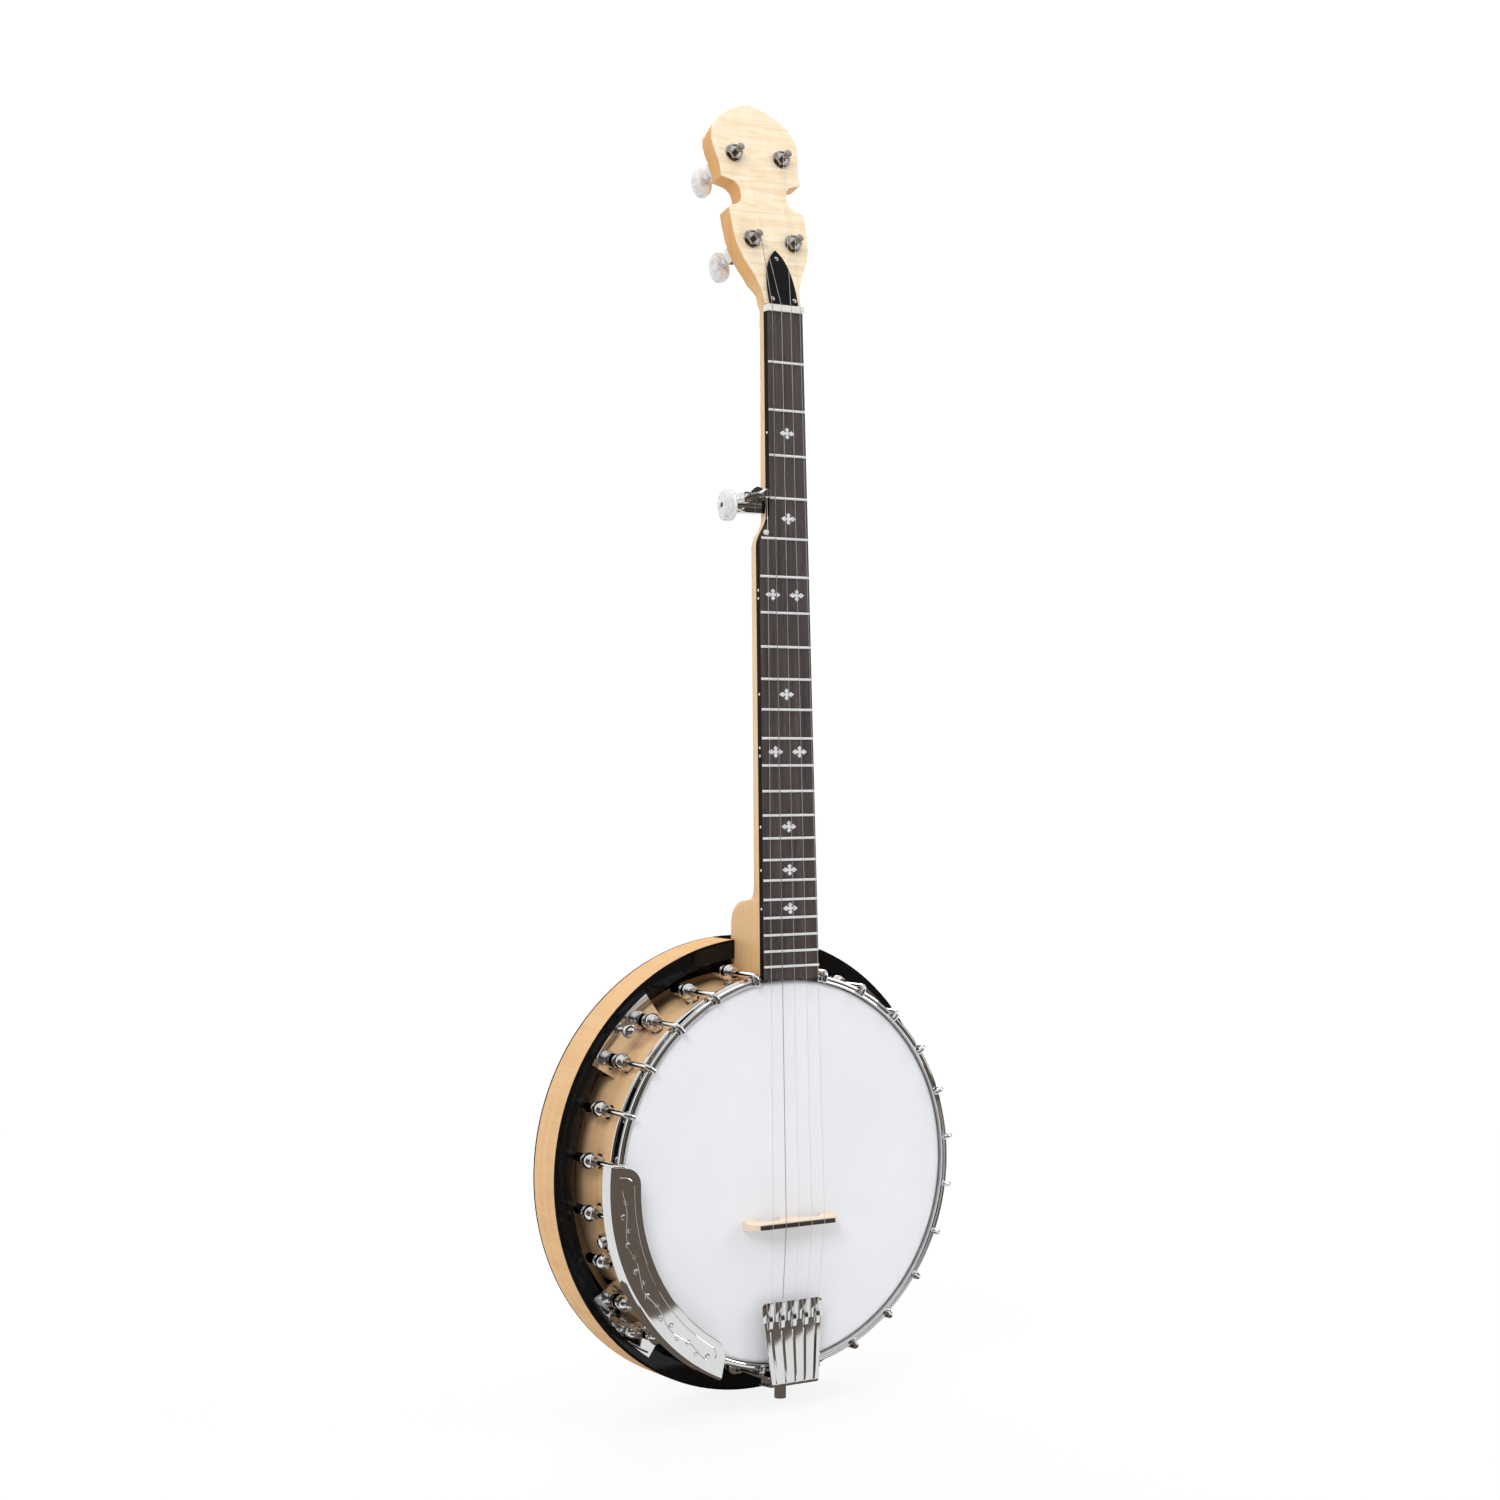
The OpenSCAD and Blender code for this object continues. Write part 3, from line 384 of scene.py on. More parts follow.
def flamed_maple():
    """Cream maple whose curl runs across the peghead in soft wavy stripes."""
    s = Shader("flamed_maple")
    p = s.place()
    grain = s.noise(s.scaled(p, 120, 120, 5), 1.0, 5.0, 0.6, 0.4)
    curl = s.noise(s.scaled(p, 14, 40, 150), 1.0, 3.0, 0.5, 1.5)
    col = s.ramp(curl, (0.34, (0.86, 0.66, 0.41)), (0.5, (0.92, 0.76, 0.52)), (0.66, (0.96, 0.85, 0.66)))
    col = s.mix(0.25, col, s.ramp(grain, (0.35, (0.80, 0.57, 0.33)), (0.65, (0.97, 0.86, 0.67))))
    s.put("Base Color", col)
    s.put("Roughness", s.ramp(curl, (0.3, 0.22), (0.7, 0.34)))
    s.put("Coat Weight", 0.7)
    s.put("Coat Roughness", 0.05)
    s.bump(grain, 0.05, 0.00005)
    return s.mat


def rosewood():
    """Dark open-pored board with long streaks and short pores, blacker on its two sides."""
    s = Shader("rosewood")
    p = s.place()
    streaks = s.noise(s.scaled(p, 260, 260, 5), 1.0, 5.0, 0.65, 0.5)
    pores = s.noise(s.scaled(p, 1500, 1500, 45), 1.0, 2.0, 0.6)
    col = s.ramp(streaks, (0.3, (0.03, 0.022, 0.021)), (0.52, (0.062, 0.046, 0.044)),
                 (0.72, (0.10, 0.074, 0.068)))
    col = s.mix(s.ramp(pores, (0.3, 0.75), (0.42, 0.0)), col, (0.016, 0.012, 0.011))
    side = s.split(s.node("NewGeometry").outputs["Normal"])[0]
    edge = s.math("GREATER_THAN", s.math("ABSOLUTE", side), 0.5)
    s.put("Base Color", s.mix(edge, col, (0.008, 0.004, 0.003)))
    s.put("Specular IOR Level", s.math("SUBTRACT", 0.5, s.math("MULTIPLY", edge, 0.42)))
    s.put("Roughness", s.ramp(pores, (0.3, 0.62), (0.6, 0.42)))
    s.bump(pores, 0.25, 0.00012)
    return s.mat


def film():
    """Frosted coating on the head: a fine sprayed tooth over slightly uneven white."""
    s = Shader("head_film")
    p = s.place()
    tooth = s.noise(p, 1800.0, 2.0)
    cloud = s.noise(p, 14.0, 4.0)
    s.put("Base Color", s.ramp(cloud, (0.3, (0.86, 0.865, 0.885)), (0.7, (0.9, 0.905, 0.92))))
    s.put("Roughness", 0.62)
    s.put("Specular IOR Level", 0.3)
    s.bump(tooth, 0.12, 0.0001)
    return s.mat


def pearl(name, warm=0.0):
    """Swirled pearloid: folded bands of white and silver under a clear gloss."""
    s = Shader(name)
    p = s.place()
    swirl = s.noise(p, 160.0, 5.0, 0.6, 3.5)
    fold = s.noise(p, 420.0, 3.0, 0.5, 2.0)
    col = s.ramp(swirl, (0.3, (0.52, 0.53, 0.55)), (0.46, (0.80, 0.80, 0.80)), (0.62, (0.93, 0.93, 0.92)))
    col = s.mix(0.3, col, s.ramp(fold, (0.35, (0.66, 0.67, 0.70)), (0.65, (0.97, 0.96, 0.94))))
    if warm:
        col = s.mix(warm, col, (0.9, 0.84, 0.7))
    s.put("Base Color", col)
    s.put("Metallic", 0.1)
    s.put("Roughness", s.ramp(swirl, (0.3, 0.18), (0.7, 0.3)))
    s.put("Coat Weight", 0.8)
    s.put("Coat Roughness", 0.04)
    s.bump(swirl, 0.06, 0.0001)
    return s.mat


def gloss_black(name, gloss):
    """Black plastic with a faint unevenness; gloss sets how much it reflects."""
    s = Shader(name)
    p = s.place()
    cloud, patches = s.noise(p, 60.0, 3.0), s.noise(p, 90.0, 3.0)
    s.put("Base Color", s.ramp(cloud, (0.3, (0.006, 0.006, 0.006)), (0.7, (0.012, 0.011, 0.011))))
    s.put("Roughness", s.ramp(patches, (0.3, 0.06), (0.7, 0.12)))
    s.put("Specular IOR Level", gloss)
    s.put("Coat Weight", gloss / 2)
    s.put("Coat Roughness", 0.03)
    s.bump(s.noise(p, 300.0, 2.0), 0.03, 0.0001)
    return s.mat


def resonator_wood():
    """Maple round the outside of the wall and on the back; black lacquer on its front edge and inside."""
    s = wood("resonator_maple", (0.92, 0.62, 0.35), (0.86, 0.54, 0.28), (0.73, 0.43, 0.2), "bowl",
             figure=0.45)
    maple = s.bsdf.inputs["Base Color"].links[0].from_socket
    y, r = s.ring_place()[1:]
    outside = s.math("GREATER_THAN", r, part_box("resonator_wall")[1].x - 0.0012)
    behind = s.math("GREATER_THAN", y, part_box("resonator_back")[0].y + 0.0009)
    back = s.math("GREATER_THAN", y, BACK_START)
    shown = s.math("MAXIMUM", outside, s.math("MINIMUM", behind, back))
    s.put("Base Color", s.mix(shown, (0.006, 0.006, 0.006), maple))
    s.put("Roughness", s.ramp(shown, (0.0, 0.07), (1.0, 0.32)))
    s.put("Specular IOR Level", s.math("SUBTRACT", 0.2, s.math("MULTIPLY", outside, 0.2)))
    s.put("Coat Weight", s.math("SUBTRACT", 0.1, s.math("MULTIPLY", outside, 0.1)))
    return s.mat


def fret_wire():
    """Polished crown that catches the light, with flanks darkened by painted shade."""
    s = metal("fret_wire", (0.95, 0.94, 0.92), 0.3, True, 0.05, 0.35)
    crown = s.bsdf.inputs["Base Color"].links[0].from_socket
    flank_shade = s.math("ABSOLUTE", s.split(s.node("NewGeometry").outputs["Normal"])[2])
    # Painted shade: faces that point along the neck get a darker base colour
    s.put("Base Color", s.mix(s.ramp(flank_shade, (0.42, 0.0), (0.62, 1.0)), crown, (0.2, 0.19, 0.19)))
    return s.mat


def wound_wire():
    """Wire whose turns show as fine bands across the string, with painted shade in the grooves between turns.
    """
    s = Shader("wound_wire", Metallic=1.0, Roughness=0.3)
    z = s.split(s.place())[2]
    wrap = 0.00025      # length of one turn of the wrap
    turns = s.math("SINE", s.math("MULTIPLY", z, 2 * math.pi / wrap))
    # Painted shade: the darker half of each band stands for the groove between two turns
    s.put("Base Color", s.ramp(turns, (0.0, (0.35, 0.34, 0.33)), (1.0, (0.75, 0.74, 0.72))))
    s.bump(turns, 0.4, 0.00005)
    return s.mat


MAPLE, FLAME, BOARD, FILM = neck_wood(), flamed_maple(), rosewood(), film()
RIM = wood("maple_rim", (1.0, 0.73, 0.44), (0.98, 0.65, 0.35), (0.87, 0.49, 0.22), "ring",
           figure=0.3).mat
BRIDGE_WOOD = wood("maple_bridge", (0.95, 0.82, 0.66), (0.9, 0.74, 0.57), (0.78, 0.6, 0.42), "x",
                   0.5, 0.0).mat
EBONY = wood("ebony", (0.05, 0.036, 0.03), (0.03, 0.022, 0.019), (0.015, 0.011, 0.01), "x",
             0.35, 0.1).mat
RESONATOR = resonator_wood()
PEARL, INLAY, BONE = pearl("pearloid"), pearl("inlay_pearl"), pearl("bone", 0.5)
BLACK, BINDING = gloss_black("black_gloss", 0.08), gloss_black("binding_black", 0.0)
CHROME = metal("chrome", (0.82, 0.815, 0.81), 0.03).mat
# Chrome with a darker base colour, a painted dark reflection on the tuner bushings and posts
DARKENED_CHROME = metal("chrome_painted_dark", (0.50, 0.48, 0.45), 0.04).mat
STEEL = metal("plain_steel", (0.52, 0.52, 0.53), 0.28, True, 0.1).mat
FRET = fret_wire()
STRING = metal("string_wire", (0.88, 0.88, 0.88), 0.3, True, 0.05, 0.6).mat
BRASS = metal("brass", (0.62, 0.44, 0.18), 0.2, True, 0.1).mat
WOUND = wound_wire()

LOOKS = {
    MAPLE: ["neck"],
    FLAME: ["peghead_overlay"],
    BOARD: ["fretboard"],
    FRET: ["frets"],
    INLAY: ["position_inlays", "side_dots"],
    BONE: ["string_nut", "fifth_string_pip"],
    BLACK: ["truss_rod_cover"],
    BINDING: ["resonator_bindings"],
    RIM: ["rim"],
    RESONATOR: ["resonator_wall", "resonator_back"],
    FILM: ["head"],
    BRIDGE_WOOD: ["bridge"],
    EBONY: ["bridge_saddle"],
    PEARL: ["fifth_peg_button"] + [f"tuner_button_{k}" for k in range(1, 5)],
    STEEL: ["truss_rod", "neck_lag_bolts", "coordinator_rods", "flesh_hoop", "shoe_bolts",
            "bracket_screws"],
    BRASS: ["tone_ring", "resonator_inserts"],
    DARKENED_CHROME: ["tuner_bushings"] + [f"tuner_post_{k}" for k in range(1, 5)],
    STRING: ["plain_strings"],
    WOUND: ["wound_string"],
}
shown_as = {n: m for m, names in LOOKS.items() for n in names}
for name, ob in NODE.items():
    ob.data.materials.clear()
    ob.data.materials.append(shown_as.get(name, CHROME))

# ---- detailed pieces that stand for CAD nodes, in millimetres and degrees --------------------
ROOT = "instrument"
HOOKS = [side * (12 + 14.4 * k) for k in range(12) for side in (1, -1)]     # angles round the pot
BRACKETS = [47.8, 133.8, -133.8, -47.8]                                     # angles of the L-brackets
SHOE_Y, SHOE_HALF = 32.0, 7.5       # depth of the shoes' stems, and from there to the shoes' fronts
HOOK_R, RIM_R, THUMB_R = 147.5, 139.4, 157.5        # radii of the hooks, the rim and the thumbscrews
BOARD_ARC = 10.1                    # half angle of the hoop's low part under the fingerboard
PEGHEAD_X = 4                       # middle of the peghead, off the middle of the pot
TUNERS = ((-18, 57), (-21, 127), (21, 127), (18, 57))       # x from that middle, and height above the nut
FIFTH_SHAFT = (0, 10, -143.2)       # a point on the fifth peg's shaft in the neck's frame


def spun(part, a, shift=(0, 0, 0)):
    """A part shifted in millimetres and turned to angle a round the pot."""
    return moved(part, Matrix.Rotation(math.radians(a), 4, "Y") @ Matrix.Translation(shift))


def polar(r, a, y=0.0):
    return Vector((r * math.sin(math.radians(a)), y, r * math.cos(math.radians(a))))


def tension_hoop():
    """Hoop with two rounded lips in front, a rounded foot, and a low part under the fingerboard."""
    back = [(144.0, 1.2), (144.0, 7.8), (144.35, 8.4), (144.75, 9.0), (144.8, 9.8), (144.4, 10.5),
            (143.0, 10.5), (143.0, 7.5), (140.1, 7.5)]
    front = [(140.1, -1.5), (140.4, -2.2), (141.0, -2.6), (141.6, -2.3), (141.9, -1.2), (143.2, -1.2),
             (143.5, -2.2), (144.0, -2.6), (144.6, -2.3), (144.8, -1.5), (144.75, -0.3), (144.3, 0.6)]
    low_front = 1.0
    low = [(140.1, low_front)] + [(r, max(y, low_front)) for r, y in back]
    part = join_parts([turned(front + back, 220, BOARD_ARC, 360 - BOARD_ARC),
                       turned(low, 16, -BOARD_ARC, BOARD_ARC)])
    piece("hoop", *part, POT_M, CHROME, ROOT, replaces=["tension_hoop"], slot="chrome")


def bracket_shoes():
    """Round shoes with a collar at each end, on a stem from the rim."""
    belly = catmull([(3.7, 1.7), (4.7, 3.0), (5.8, 4.9), (6.25, 7.2), (5.9, 9.6), (4.9, 11.4),
                     (4.0, 12.5)], 3)
    profile = [(0, -0.1), (3.9, 0), (4.4, 0.35), (4.5, 1.1), (4.1, 1.55)] + [tuple(p) for p in belly]
    profile += [(4.1, 12.8), (5.0, 13.1), (5.2, 13.7), (5.0, 14.6), (4.5, 14.9), (0, 14.9)]
    body = turned(profile, 28)
    stem_rings = ((RIM_R + 0.05, 5.6), (RIM_R + 1.0, 5.4), (RIM_R + 1.4, 4.2), (HOOK_R - 2, 4.2))
    stem = tube([(0, SHOE_Y, r) for r, thick in stem_rings], [thick for r, thick in stem_rings], 24)
    parts = []
    for a in HOOKS:
        parts += [spun(body, a, (0, SHOE_Y - SHOE_HALF, HOOK_R)), spun(stem, a)]
    piece("shoes", *join_parts(parts), POT_M, CHROME, ROOT, replaces=["bracket_shoes"], slot="chrome")


def thumbscrew(k):
    """Domed screw with a knurled rim."""
    profile = [(0, 25.4), (1.2, 25.5), (2.3, 26.0), (3.0, 26.9), (3.1, 27.7), (4.3, 27.7), (4.8, 27.95),
               (5.05, 28.4), (5.05, 31.2), (4.8, 31.7), (4.2, 32.0), (2.6, 32.3), (2.0, 33.0), (1.9, 34.0),
               (1.9, 39.4), (2.5, 40.2), (3.6, 40.5), (3.8, 41.2), (3.6, 43.05), (1.75, 43.05), (1.75, 55),
               (0, 55.6)]
    knurled_from, knurl = 5, 0.94       # radius where the knurl starts, and how deep every other rib is cut
    verts, faces = turned(profile, 60)
    for i, v in enumerate(verts):
        if math.hypot(v[0], v[2]) > knurled_from and (i // len(profile)) % 2:
            verts[i] = (v[0] * knurl, v[1], v[2] * knurl)
    m = at_angle(BRACKETS[k - 1]) @ Matrix.Translation((0, 0, THUMB_R * MM))
    piece(f"knob_{k}", verts, faces, m, CHROME, f"screw_{k}", replaces=[f"thumbscrew_{k}"], slot="chrome")


def grip(r, half, thick, c):
    """Oval grip of radius r across and half along z, thick to each side of y = c, rounded all over."""
    rings = []
    for i in range(19):
        t = math.radians(-86 + 172 * i / 18)
        y = c + thick * math.copysign(abs(math.sin(t)) ** 0.75, t)
        k = math.cos(t) ** 0.42
        rings.append([(math.copysign(abs(math.cos(b)) ** 0.9, math.cos(b)) * r * k, y,
                       math.copysign(abs(math.sin(b)) ** 0.9, math.sin(b)) * half * k)
                      for b in (2 * math.pi * j / 40 for j in range(40))])
    return stack(rings)


def buttons():
    """Pearl grips on the shafts of the five pegs."""
    for k, (x, z) in enumerate(TUNERS, 1):
        m = PEG_M @ Matrix.Translation(((PEGHEAD_X + x) * MM, 0, z * MM))
        piece(f"grip_{k}", *grip(7.8, 12.2, 5.7, 47.5), m, PEARL, f"peg_{k}",
              replaces=[f"tuner_button_{k}"], slot="pearloid")
    m = NECK_M @ Matrix.Translation(Vector(FIFTH_SHAFT) * MM) @ Matrix.Rotation(math.pi / 2, 4, "Z")
    piece("grip_5", *grip(7.8, 12.2, 5.8, 42.3), m, PEARL, "fifth_peg",
          replaces=["fifth_peg_button"], slot="pearloid")


# Armrest: depth of its face, inner and outer radius, and the angles at its ends
REST = {"face": -14.4, "in": 132.0, "out": 156.5, "top": -83.7, "low": -153.2}
VINE_R = 146.6                      # radius that the armrest's vine winds along


def corner(s, r):
    """Set-back of a corner of radius r at the distance s from its end."""
    return 0.0 if s >= r else r - math.sqrt(max(0.0, r * r - (r - s) ** 2))


def rest_edge(a, r, top, low, r_top, r_low):
    """Radius of the inner edge, or of a line beside it, at angle a."""
    return r + corner(math.radians(top - a) * r, r_top) + corner(math.radians(a - low) * r, r_low)


def armrest():
    """Bent plate with round inner corners, a skirt down its outer side and a raised vine in a border."""
    face, out, top, low = REST["face"], REST["out"], REST["top"], REST["low"]
    bend, wall, rings = 2.4, 1.2, []
    for i in range(141):
        w = 0.5 - 0.5 * math.cos(math.pi * i / 140)     # crowded towards both ends
        a = top + (low - top) * w
        r0 = rest_edge(a, REST["in"], top, low, 11.6, 10.0)
        cut = [(r0, face + 0.9), (r0 + 0.15, face + 0.35), (r0 + 0.6, face)]
        cut += [(r0 + (out - bend - r0) * t, face) for t in (0.25, 0.5, 0.75)]
        cut += [(out - bend + bend * math.sin(t), face + bend - bend * math.cos(t))
                for t in (math.radians(d) for d in range(0, 91, 10))]
        cut += [(out, -6.0), (out + 0.2, -1.9), (out - 0.2, -1.5), (out - wall, -1.5),
                (out - wall, face + bend + 0.4), (out - bend, face + wall), (r0 + 0.6, face + wall)]
        rings.append([polar(r, a - 2.0 * w ** 6 * max(0.0, (r - 134) / 22), y) for r, y in cut])
    parts = [stack(rings)]

    def line(points, r=0.34, sides=8):
        parts.append(tube([polar(q, a, face + 0.07) for q, a in points], r, sides))

    line_top, line_low = top - 2.5, low + 2.6
    spread = low - top + 5.1
    edge = [(rest_edge(a, 138.0, line_top, line_low, 8.0, 6.0), a)
            for a in (line_top + spread * (0.5 - 0.5 * math.cos(math.pi * i / 120)) for i in range(121))]
    line([(150.5, line_top), (148, line_top)] + edge)
    # Scrolling vine with curls to both sides
    stations = [-89.8 - 0.367 * i for i in range(160)]
    line([(VINE_R + 1.5 * math.sin(math.radians(24 * (a + 92))), a) for a in stations], 0.42)
    for i in range(15):
        side, a0 = (1 if i % 2 else -1), -93.1 - 3.93 * i
        curl = []
        for j in range(30):
            t, q = j / 29, 2.3 * (1 - 0.8 * j / 29)
            b = math.radians(-90 * side + side * 470 * t)
            curl.append((VINE_R + side * 1.4 + q * math.sin(b), a0 + math.degrees(q * math.cos(b) / VINE_R)))
        line(curl, 0.4, 6)
    piece("rest", *join_parts(parts), POT_M, CHROME, ROOT, replaces=["armrest"], slot="chrome")


# Tailpiece: place of its top edge in the pot's frame, half width there and at the bend, and its length
TAIL_Y, TAIL_Z, TAIL_LEAN = -6.6, -93, 4.9
TAIL_HALF, TAIL_NARROWING, TAIL_LENGTH = 26.2, 5.9, 58.5
HOOK_PITCH = 10.3                   # from one string hook to the next


def tailpiece():
    """Grooved sheet with five tabs, a hook in each, and a foot bent under the pot."""
    m = (POT_M @ Matrix.Translation((0, TAIL_Y * MM, TAIL_Z * MM))
         @ Matrix.Rotation(math.radians(-TAIL_LEAN), 4, "X"))
    tabs = 13.6         # where the grooved sheet starts, just inside the tabs' lower ends
    shape = ((-1.4, 0.0), (-1.15, 0.0), (-0.85, 0.12), (-0.45, 0.55), (0, 0.8), (0.45, 0.55), (0.85, 0.12),
             (1.15, 0.0), (1.4, 0.0))
    # Distance down the sheet, depth, and how far it has bent into the foot
    track = [(v, -0.8, 0.0) for v in (tabs, 20, 28, 36, 44, 52, TAIL_LENGTH)]
    track += [(TAIL_LENGTH + 2.5 * math.sin(math.radians(t)), 1.7 - 2.5 * math.cos(math.radians(t)), t)
              for t in range(15, 91, 15)]
    track += [(61, y, 90.0) for y in (6, 11, 16.6)]
    rings = []
    for v, y, tip in track:
        along = min(v, TAIL_LENGTH) / TAIL_LENGTH
        half, pitch = TAIL_HALF - TAIL_NARROWING * along, 10.6 - 2.6 * along
        fade = min(1.0, max(0.0, (v - tabs) / 9)) * (1 - min(1.0, tip / 90.0))
        ny, nz = math.cos(math.radians(tip)), math.sin(math.radians(tip))
        columns = [(-half, 0.35), (-half + 0.4, 0.0)]
        for i in range(-2, 3):
            columns += [(i * pitch + dx, depth * fade) for dx, depth in shape]
            if i < 2:
                columns.append(((i + 0.5) * pitch, -0.04 * fade))
        columns += [(half - 0.4, 0.0), (half, 0.35)]
        ring = [(x, y + d * ny, -v + d * nz) for x, d in columns]
        ring += [(x, y + 1.2 * ny, -v + 1.2 * nz) for x in (half, 0, -half)]
        rings.append(ring)
    parts = [stack(rings)]
    for i in range(-2, 3):
        tab_pitch, slot_half, outer_round, inner_round = 10.4, 0.75, 3.5, 0.8
        l = -TAIL_HALF if i == -2 else (i - 0.5) * tab_pitch + slot_half
        r = TAIL_HALF if i == 2 else (i + 0.5) * tab_pitch - slot_half
        rl, rr = (outer_round if i == -2 else inner_round), (outer_round if i == 2 else inner_round)
        outline = [(l, -14.2)] + arc((l + rl, -rl), rl, 180, 90, 6)
        outline += arc((r - rr, -rr), rr, 90, 0, 6) + [(r, -14.2)]
        parts.append(plate(outline, -0.83, 0.3, 0.22))
        x = i * HOOK_PITCH
        tongue = catmull([(-21, -0.4), (-18.5, -2.3), (-14, -3.3), (-10, -3.0), (-7.6, -1.7)], 4)
        parts.append(stack([[(x - 1.5, p.y, p.x), (x + 1.5, p.y, p.x), (x + 1.5, p.y + 0.8, p.x - 0.2),
                             (x - 1.5, p.y + 0.8, p.x - 0.2)] for p in tongue]))
    piece("tail", *join_parts(parts), m, CHROME, ROOT, replaces=["tailpiece"], slot="chrome")
    # Loop ends of the strings round the hooks, and their twisted lengths up towards the bridge
    loops, hook_down, hook_y, rise = [], 12.8, -9.4, 0.096
    spread = (11.3 - HOOK_PITCH) / 68.8         # widening of the strings' pitch per millimetre
    for i in range(-2, 3):
        x, dx = i * HOOK_PITCH, i * spread
        loops.append(tube([(x + 2.1 * math.sin(t), -9.3 - 0.4 * math.cos(t), -107.5 + 5.6 * math.cos(t))
                           for t in (2 * math.pi * j / 28 for j in range(28))], 0.36, 8, closed=True))
        loops.append(tube([(x + dx * (hook_down - v), hook_y - (hook_down - v) * rise, TAIL_Z - v)
                           for v in (9, 6, 2, -3)], [0.62, 0.6, 0.55, 0.3], 8))
    piece("string_loops", *join_parts(loops), POT_M, STRING, ROOT, slot="string_steel")


def treble_side(s):
    """Half width of the neck on the treble side, s below the nut."""
    return 20 + 4.25 * s / 489


def bass_side(s):
    """Half width on the bass side, which widens below the fifth peg."""
    widen_from, widen_to = 150, 173
    if s > widen_to:
        return treble_side(s)
    blend = 0.0
    if s >= widen_from:
        blend = (1 - math.cos(math.pi * (s - widen_from) / (widen_to - widen_from))) / 2
    return 11.2 + 1.2 * min(s, widen_from) / widen_from + (treble_side(s) - 12.4) * blend


def neck():
    """Smooth neck: round shaft, square heel bedded on the rim, and the bevelled peghead plate."""
    under_board, peg_core, steps = 5.02, 14.5, 30

    def ring(l, r, y0, y1, p, q, taper):
        """Section from l to r across and y0 to y1 deep; p and q square it off, taper narrows its back."""
        out = [(r, y0)]
        for i in range(steps + 1):
            a = math.pi * i / steps
            v, c = max(0.0, math.sin(a)) ** q, math.cos(a)
            w = math.copysign(abs(c) ** p, c) * (1 - taper * v)
            out.append(((r - l) / 2 + w * (r + l) / 2, y0 + 2 + (y1 - y0 - 2) * v))
        return out + [(-l, y0)]

    lean = Matrix.Rotation(-TILT, 4, "X")
    inside_peghead = ((30, 15, 13, 0.6, 0.5), (17, 16, 14.1, 0.4, 0.35), (10, 16, 15.4, 0.6, 0.5))
    rings = [[lean @ Vector((x, y, z)) for x, y in ring(half - PEGHEAD_X, half + PEGHEAD_X, 1.8, t, p, q, 0)]
             for z, half, t, p, q in inside_peghead]
    rings.append([(x, y, 2.4) for x, y in ring(11.1, 19.9, under_board, 19.7, 1, 0.8, 0)])
    # Depth of the back below the fingerboard's face, at distances below the nut
    depth = [(2, 20.5), (30, 20.6), (80, 20.9), (140, 21.5), (150, 21.5), (161, 21.7), (173, 21.9),
             (240, 22.4), (320, 23.1), (400, 23.6), (412, 24), (419, 24.4), (424, 25.4), (427.5, 27.6),
             (429.4, 31), (430.4, 36), (431.2, 43), (432.6, 50), (435.4, 56), (440, 60.5), (447, 63),
             (458, 63.6), (478, 63.6)]
    for s, t in catmull(depth, 5):
        k = max(0.0, min(1.0, (s - 412) / 32))      # 0 on the shaft, 1 on the heel
        section = ring(bass_side(s) - 0.1, treble_side(s) - 0.1, under_board, t, 1 - 0.7 * k, 0.8 - 0.5 * k,
                       0.36 * k)
        rings.append([(x, y, -s) for x, y in section])
    # The last two rings lie round the hoop and then on the rim
    hoop_room, hoop_back = 145.3, 10.8
    to_pot = POT_M.inverted() @ NECK_M
    base = rings[-1]
    for last in (False, True):
        bed = []
        for x, y, z in base:
            p = to_pot @ (Vector((x, y, z)) * MM) / MM
            r = RIM_R + 0.1 if last and p.y > hoop_back else hoop_room
            bed.append((x, y, z - (p.z - math.sqrt(r * r - x * x))))
        rings.append(bed)
    # One side of the peghead from the nut up, from its middle
    half = catmull([(16, 5.95), (16.4, 16), (20.8, 29), (28, 43), (31.8, 56), (32.8, 70), (32.9, 82)], 6)
    half += catmull([(32.7, 82.6), (29.5, 84.1), (24.2, 86.4), (20.9, 90.3), (20.1, 95.5), (21, 100.4),
                     (24.2, 104.2), (30, 106.2), (34.9, 107.4)], 6)
    half += catmull([(35.1, 107.9), (34.6, 115), (35.8, 123), (37.6, 132), (37.8, 140), (35.4, 147.8),
                     (29, 156.4), (18, 163.6), (8, 168), (0, 170.2)], 6)
    outline = [(PEGHEAD_X + x, z) for x, z in half] + [(PEGHEAD_X - x, z) for x, z in reversed(half[:-1])]
    body = [(x, max(z, 14.5)) for x, z in outline if z > 13]
    piece("smooth_neck", *stack(rings), NECK_M, MAPLE, ROOT, 40, replaces=["neck"], slot="neck_maple")
    verts, faces = plate(body, 1.22, peg_core, 0.5)
    # The plate thins towards the nut, where it runs into the shaft
    verts = [(x, y - 0.42 * max(0.0, 26 - z) if y > 5 else y, z) for x, y, z in verts]
    piece("peghead", verts, faces, PEG_M, MAPLE, ROOT, slot="neck_maple")


tension_hoop()
bracket_shoes()
for number in range(1, 5):
    thumbscrew(number)
buttons()
armrest()
tailpiece()
neck()

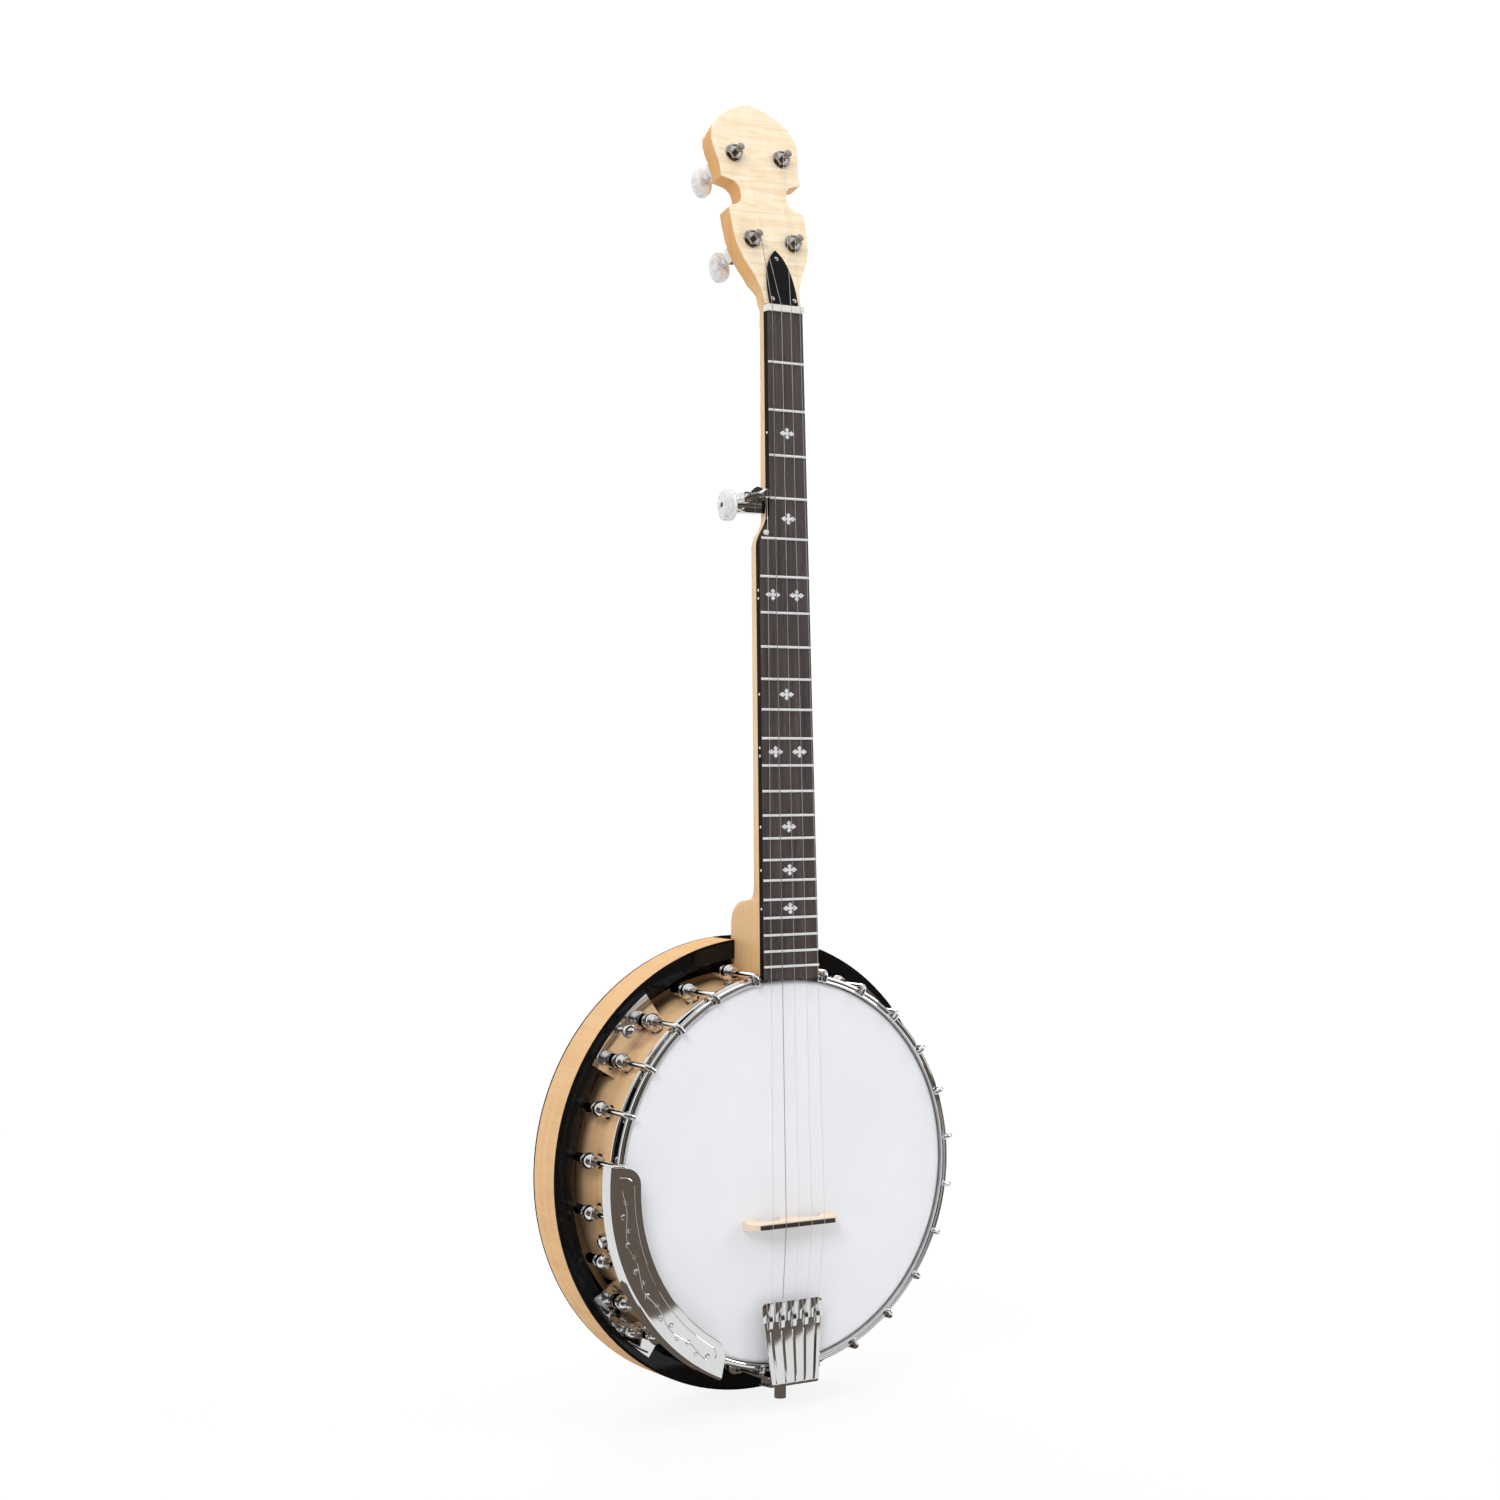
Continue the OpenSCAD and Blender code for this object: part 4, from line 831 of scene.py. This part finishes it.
# ---- camera, light and floor, in metres ------------------------------------------------------
LENS, SENSOR = 63.65, 36.0                      # millimetres
CAMERA_PLACE = (-1.0804, -1.6333, -0.3163)
yaw, pitch, roll = math.radians(33.04), math.radians(-0.167), math.radians(0.25)
fwd = Vector((math.sin(yaw) * math.cos(pitch), math.cos(yaw) * math.cos(pitch), math.sin(pitch)))
right = Vector((math.cos(yaw), -math.sin(yaw), 0))
up = right.cross(fwd)
cam_x = right * math.cos(roll) + up * math.sin(roll)
cam_y = up * math.cos(roll) - right * math.sin(roll)
camera = bpy.data.cameras.new("camera")
camera.lens, camera.sensor_width = LENS, SENSOR
camera.clip_start, camera.clip_end = 0.05, 100.0
cam = bpy.data.objects.new("camera", camera)
bpy.context.scene.collection.objects.link(cam)
cam.matrix_world = Matrix.Translation(CAMERA_PLACE) @ Matrix((cam_x, cam_y, -fwd)).transposed().to_4x4()
bpy.context.scene.camera = cam


def area(name, place, target, size, watts):
    """A white rectangular light at place that faces target."""
    light = bpy.data.lights.new(name, "AREA")
    light.shape, light.size, light.size_y = "RECTANGLE", size[0], size[1]
    light.energy = watts
    ob = bpy.data.objects.new(name, light)
    bpy.context.scene.collection.objects.link(ob)
    ob.location = place
    ob.rotation_euler = (Vector(target) - Vector(place)).to_track_quat("-Z", "Y").to_euler()
    return ob


area("key", (-2.3, -1.9, 1.5), (0, 0, -0.45), (1.3, 1.5), 50).visible_glossy = False
area("fill", (2.7, -1.5, 0.9), (0, 0, -0.5), (1.2, 1.8), 29)
area("top", (0.1, -0.3, 2.3), (0, 0, -0.4), (1.6, 1.2), 24).visible_glossy = False
area("rear", (0.9, 2.4, 0.9), (0, 0, -0.4), (1.5, 1.5), 34)

# The room: white to the camera, white behind the object and dark in front of it in reflections, and a
# soft pale light for everything else
world = bpy.data.worlds.new("studio")
bpy.context.scene.world = world
world.use_nodes = True
wt = world.node_tree
wt.nodes.clear()


def world_node(kind):
    return wt.nodes.new("ShaderNode" + kind)


out, rays = world_node("OutputWorld"), world_node("LightPath")
coord, sep, ramp = world_node("TexCoord"), world_node("SeparateXYZ"), world_node("ValToRGB")
wt.links.new(coord.outputs["Generated"], sep.inputs[0])
wt.links.new(sep.outputs["Z"], ramp.inputs["Fac"])
# Reflected room, dark low down and pale overhead, with a white backdrop beyond the object
low_stop, high_stop = ramp.color_ramp.elements
low_stop.position, low_stop.color = 0.3, (0.05, 0.044, 0.04, 1)
high_stop.position, high_stop.color = 0.75, (0.85, 0.85, 0.87, 1)
backdrop, reach = world_node("Mix"), world_node("MapRange")
backdrop.data_type, backdrop.blend_type = "RGBA", "LIGHTEN"
reach.inputs["From Min"].default_value, reach.inputs["From Max"].default_value = 0.25, 0.5
wt.links.new(sep.outputs["Y"], reach.inputs["Value"])
wt.links.new(reach.outputs[0], backdrop.inputs[7])
wt.links.new(ramp.outputs["Color"], backdrop.inputs[6])
backdrop.inputs[0].default_value = 1.0
rooms = []
for colour, strength in (((1, 1, 1, 1), 1.1), ((0.96, 0.97, 1.0, 1), 0.47), ((0, 0, 0, 1), 1.0)):
    back = world_node("Background")
    back.inputs["Color"].default_value = colour
    back.inputs["Strength"].default_value = strength
    rooms.append(back)
seen_room, soft_room, mirrored_room = rooms
wt.links.new(backdrop.outputs[2], mirrored_room.inputs["Color"])
glossy, choice = world_node("MixShader"), world_node("MixShader")
wt.links.new(rays.outputs["Is Glossy Ray"], glossy.inputs[0])
wt.links.new(soft_room.outputs[0], glossy.inputs[1])
wt.links.new(mirrored_room.outputs[0], glossy.inputs[2])
wt.links.new(rays.outputs["Is Camera Ray"], choice.inputs[0])
wt.links.new(glossy.outputs[0], choice.inputs[1])
wt.links.new(seen_room.outputs[0], choice.inputs[2])
wt.links.new(choice.outputs[0], out.inputs["Surface"])

# A pale floor with a soft shadow round the object; in reflections it is a white sheet to the front and
# the treble side, and dark elsewhere
FLOOR_HALF = 30
floor_z = cad_box[0].z - 0.004
floor_mesh = bpy.data.meshes.new("floor")
corners = [(x * FLOOR_HALF, y * FLOOR_HALF, floor_z) for x, y in ((-1, -1), (1, -1), (1, 1), (-1, 1))]
floor_mesh.from_pydata(corners, [], [(0, 1, 2, 3)])
floor = bpy.data.objects.new("floor", floor_mesh)
bpy.context.scene.collection.objects.link(floor)
fs = Shader("pale_floor", Roughness=0.7)
cloud = fs.noise(fs.place(), 6.0, 3.0)
fs.put("Base Color", fs.ramp(cloud, (0.3, (0.74, 0.74, 0.75)), (0.7, (0.78, 0.78, 0.79))))
fx, fy = fs.split(fs.place())[:2]
far = fs.math("SQRT", fs.math("ADD", fs.math("MULTIPLY", fx, fx), fs.math("MULTIPLY", fy, fy)))
# Signed distance to the edge of the white sheet
sheet = fs.math("ADD", fs.math("MULTIPLY", fs.math("SUBTRACT", fx, 0.104), 0.635),
                fs.math("MULTIPLY", fs.math("ADD", fy, 0.381), 0.772))
# Painted shadow in reflections: dark ground under and behind the instrument
under = fs.math("MULTIPLY", fs.math("GREATER_THAN", fy, -0.085),
                fs.math("LESS_THAN", fs.math("ABSOLUTE", fx), 0.19))
ray = fs.node("LightPath")
dark, white, sky = fs.node("Emission"), fs.node("Emission"), fs.node("Emission")
dark.inputs["Color"].default_value, dark.inputs["Strength"].default_value = (0.13, 0.105, 0.085, 1.0), 1.0
white.inputs["Color"].default_value, white.inputs["Strength"].default_value = (0.86, 0.88, 0.88, 1.0), 1.0
sky.inputs["Color"].default_value, sky.inputs["Strength"].default_value = (1.0, 1.0, 1.0, 1.0), 1.02
mirror, near, seen, final = (fs.node("MixShader"), fs.node("MixShader"), fs.node("MixShader"),
                             fs.node("OutputMaterial"))
fs.feed(mirror, 0, fs.math("MULTIPLY", fs.ramp(fs.math("ADD", sheet, 0.5), (0.498, 0.0), (0.502, 1.0)),
                           fs.math("SUBTRACT", 1.0, under)))
fs.feed(mirror, 1, dark.outputs[0])
fs.feed(mirror, 2, white.outputs[0])
fs.feed(near, 0, ray.outputs["Is Glossy Ray"])
fs.feed(near, 1, fs.bsdf.outputs[0])
fs.feed(near, 2, mirror.outputs[0])
fs.feed(seen, 0, fs.math("MULTIPLY", ray.outputs["Is Camera Ray"],
                         fs.ramp(fs.math("MULTIPLY", far, 0.25), (0.1, 0.86), (0.4, 1.0))))
fs.feed(seen, 1, near.outputs[0])
fs.feed(seen, 2, sky.outputs[0])
fs.feed(final, "Surface", seen.outputs[0])
final.is_active_output = True
floor_mesh.materials.append(fs.mat)
bpy.context.scene.view_settings.view_transform = "Standard"
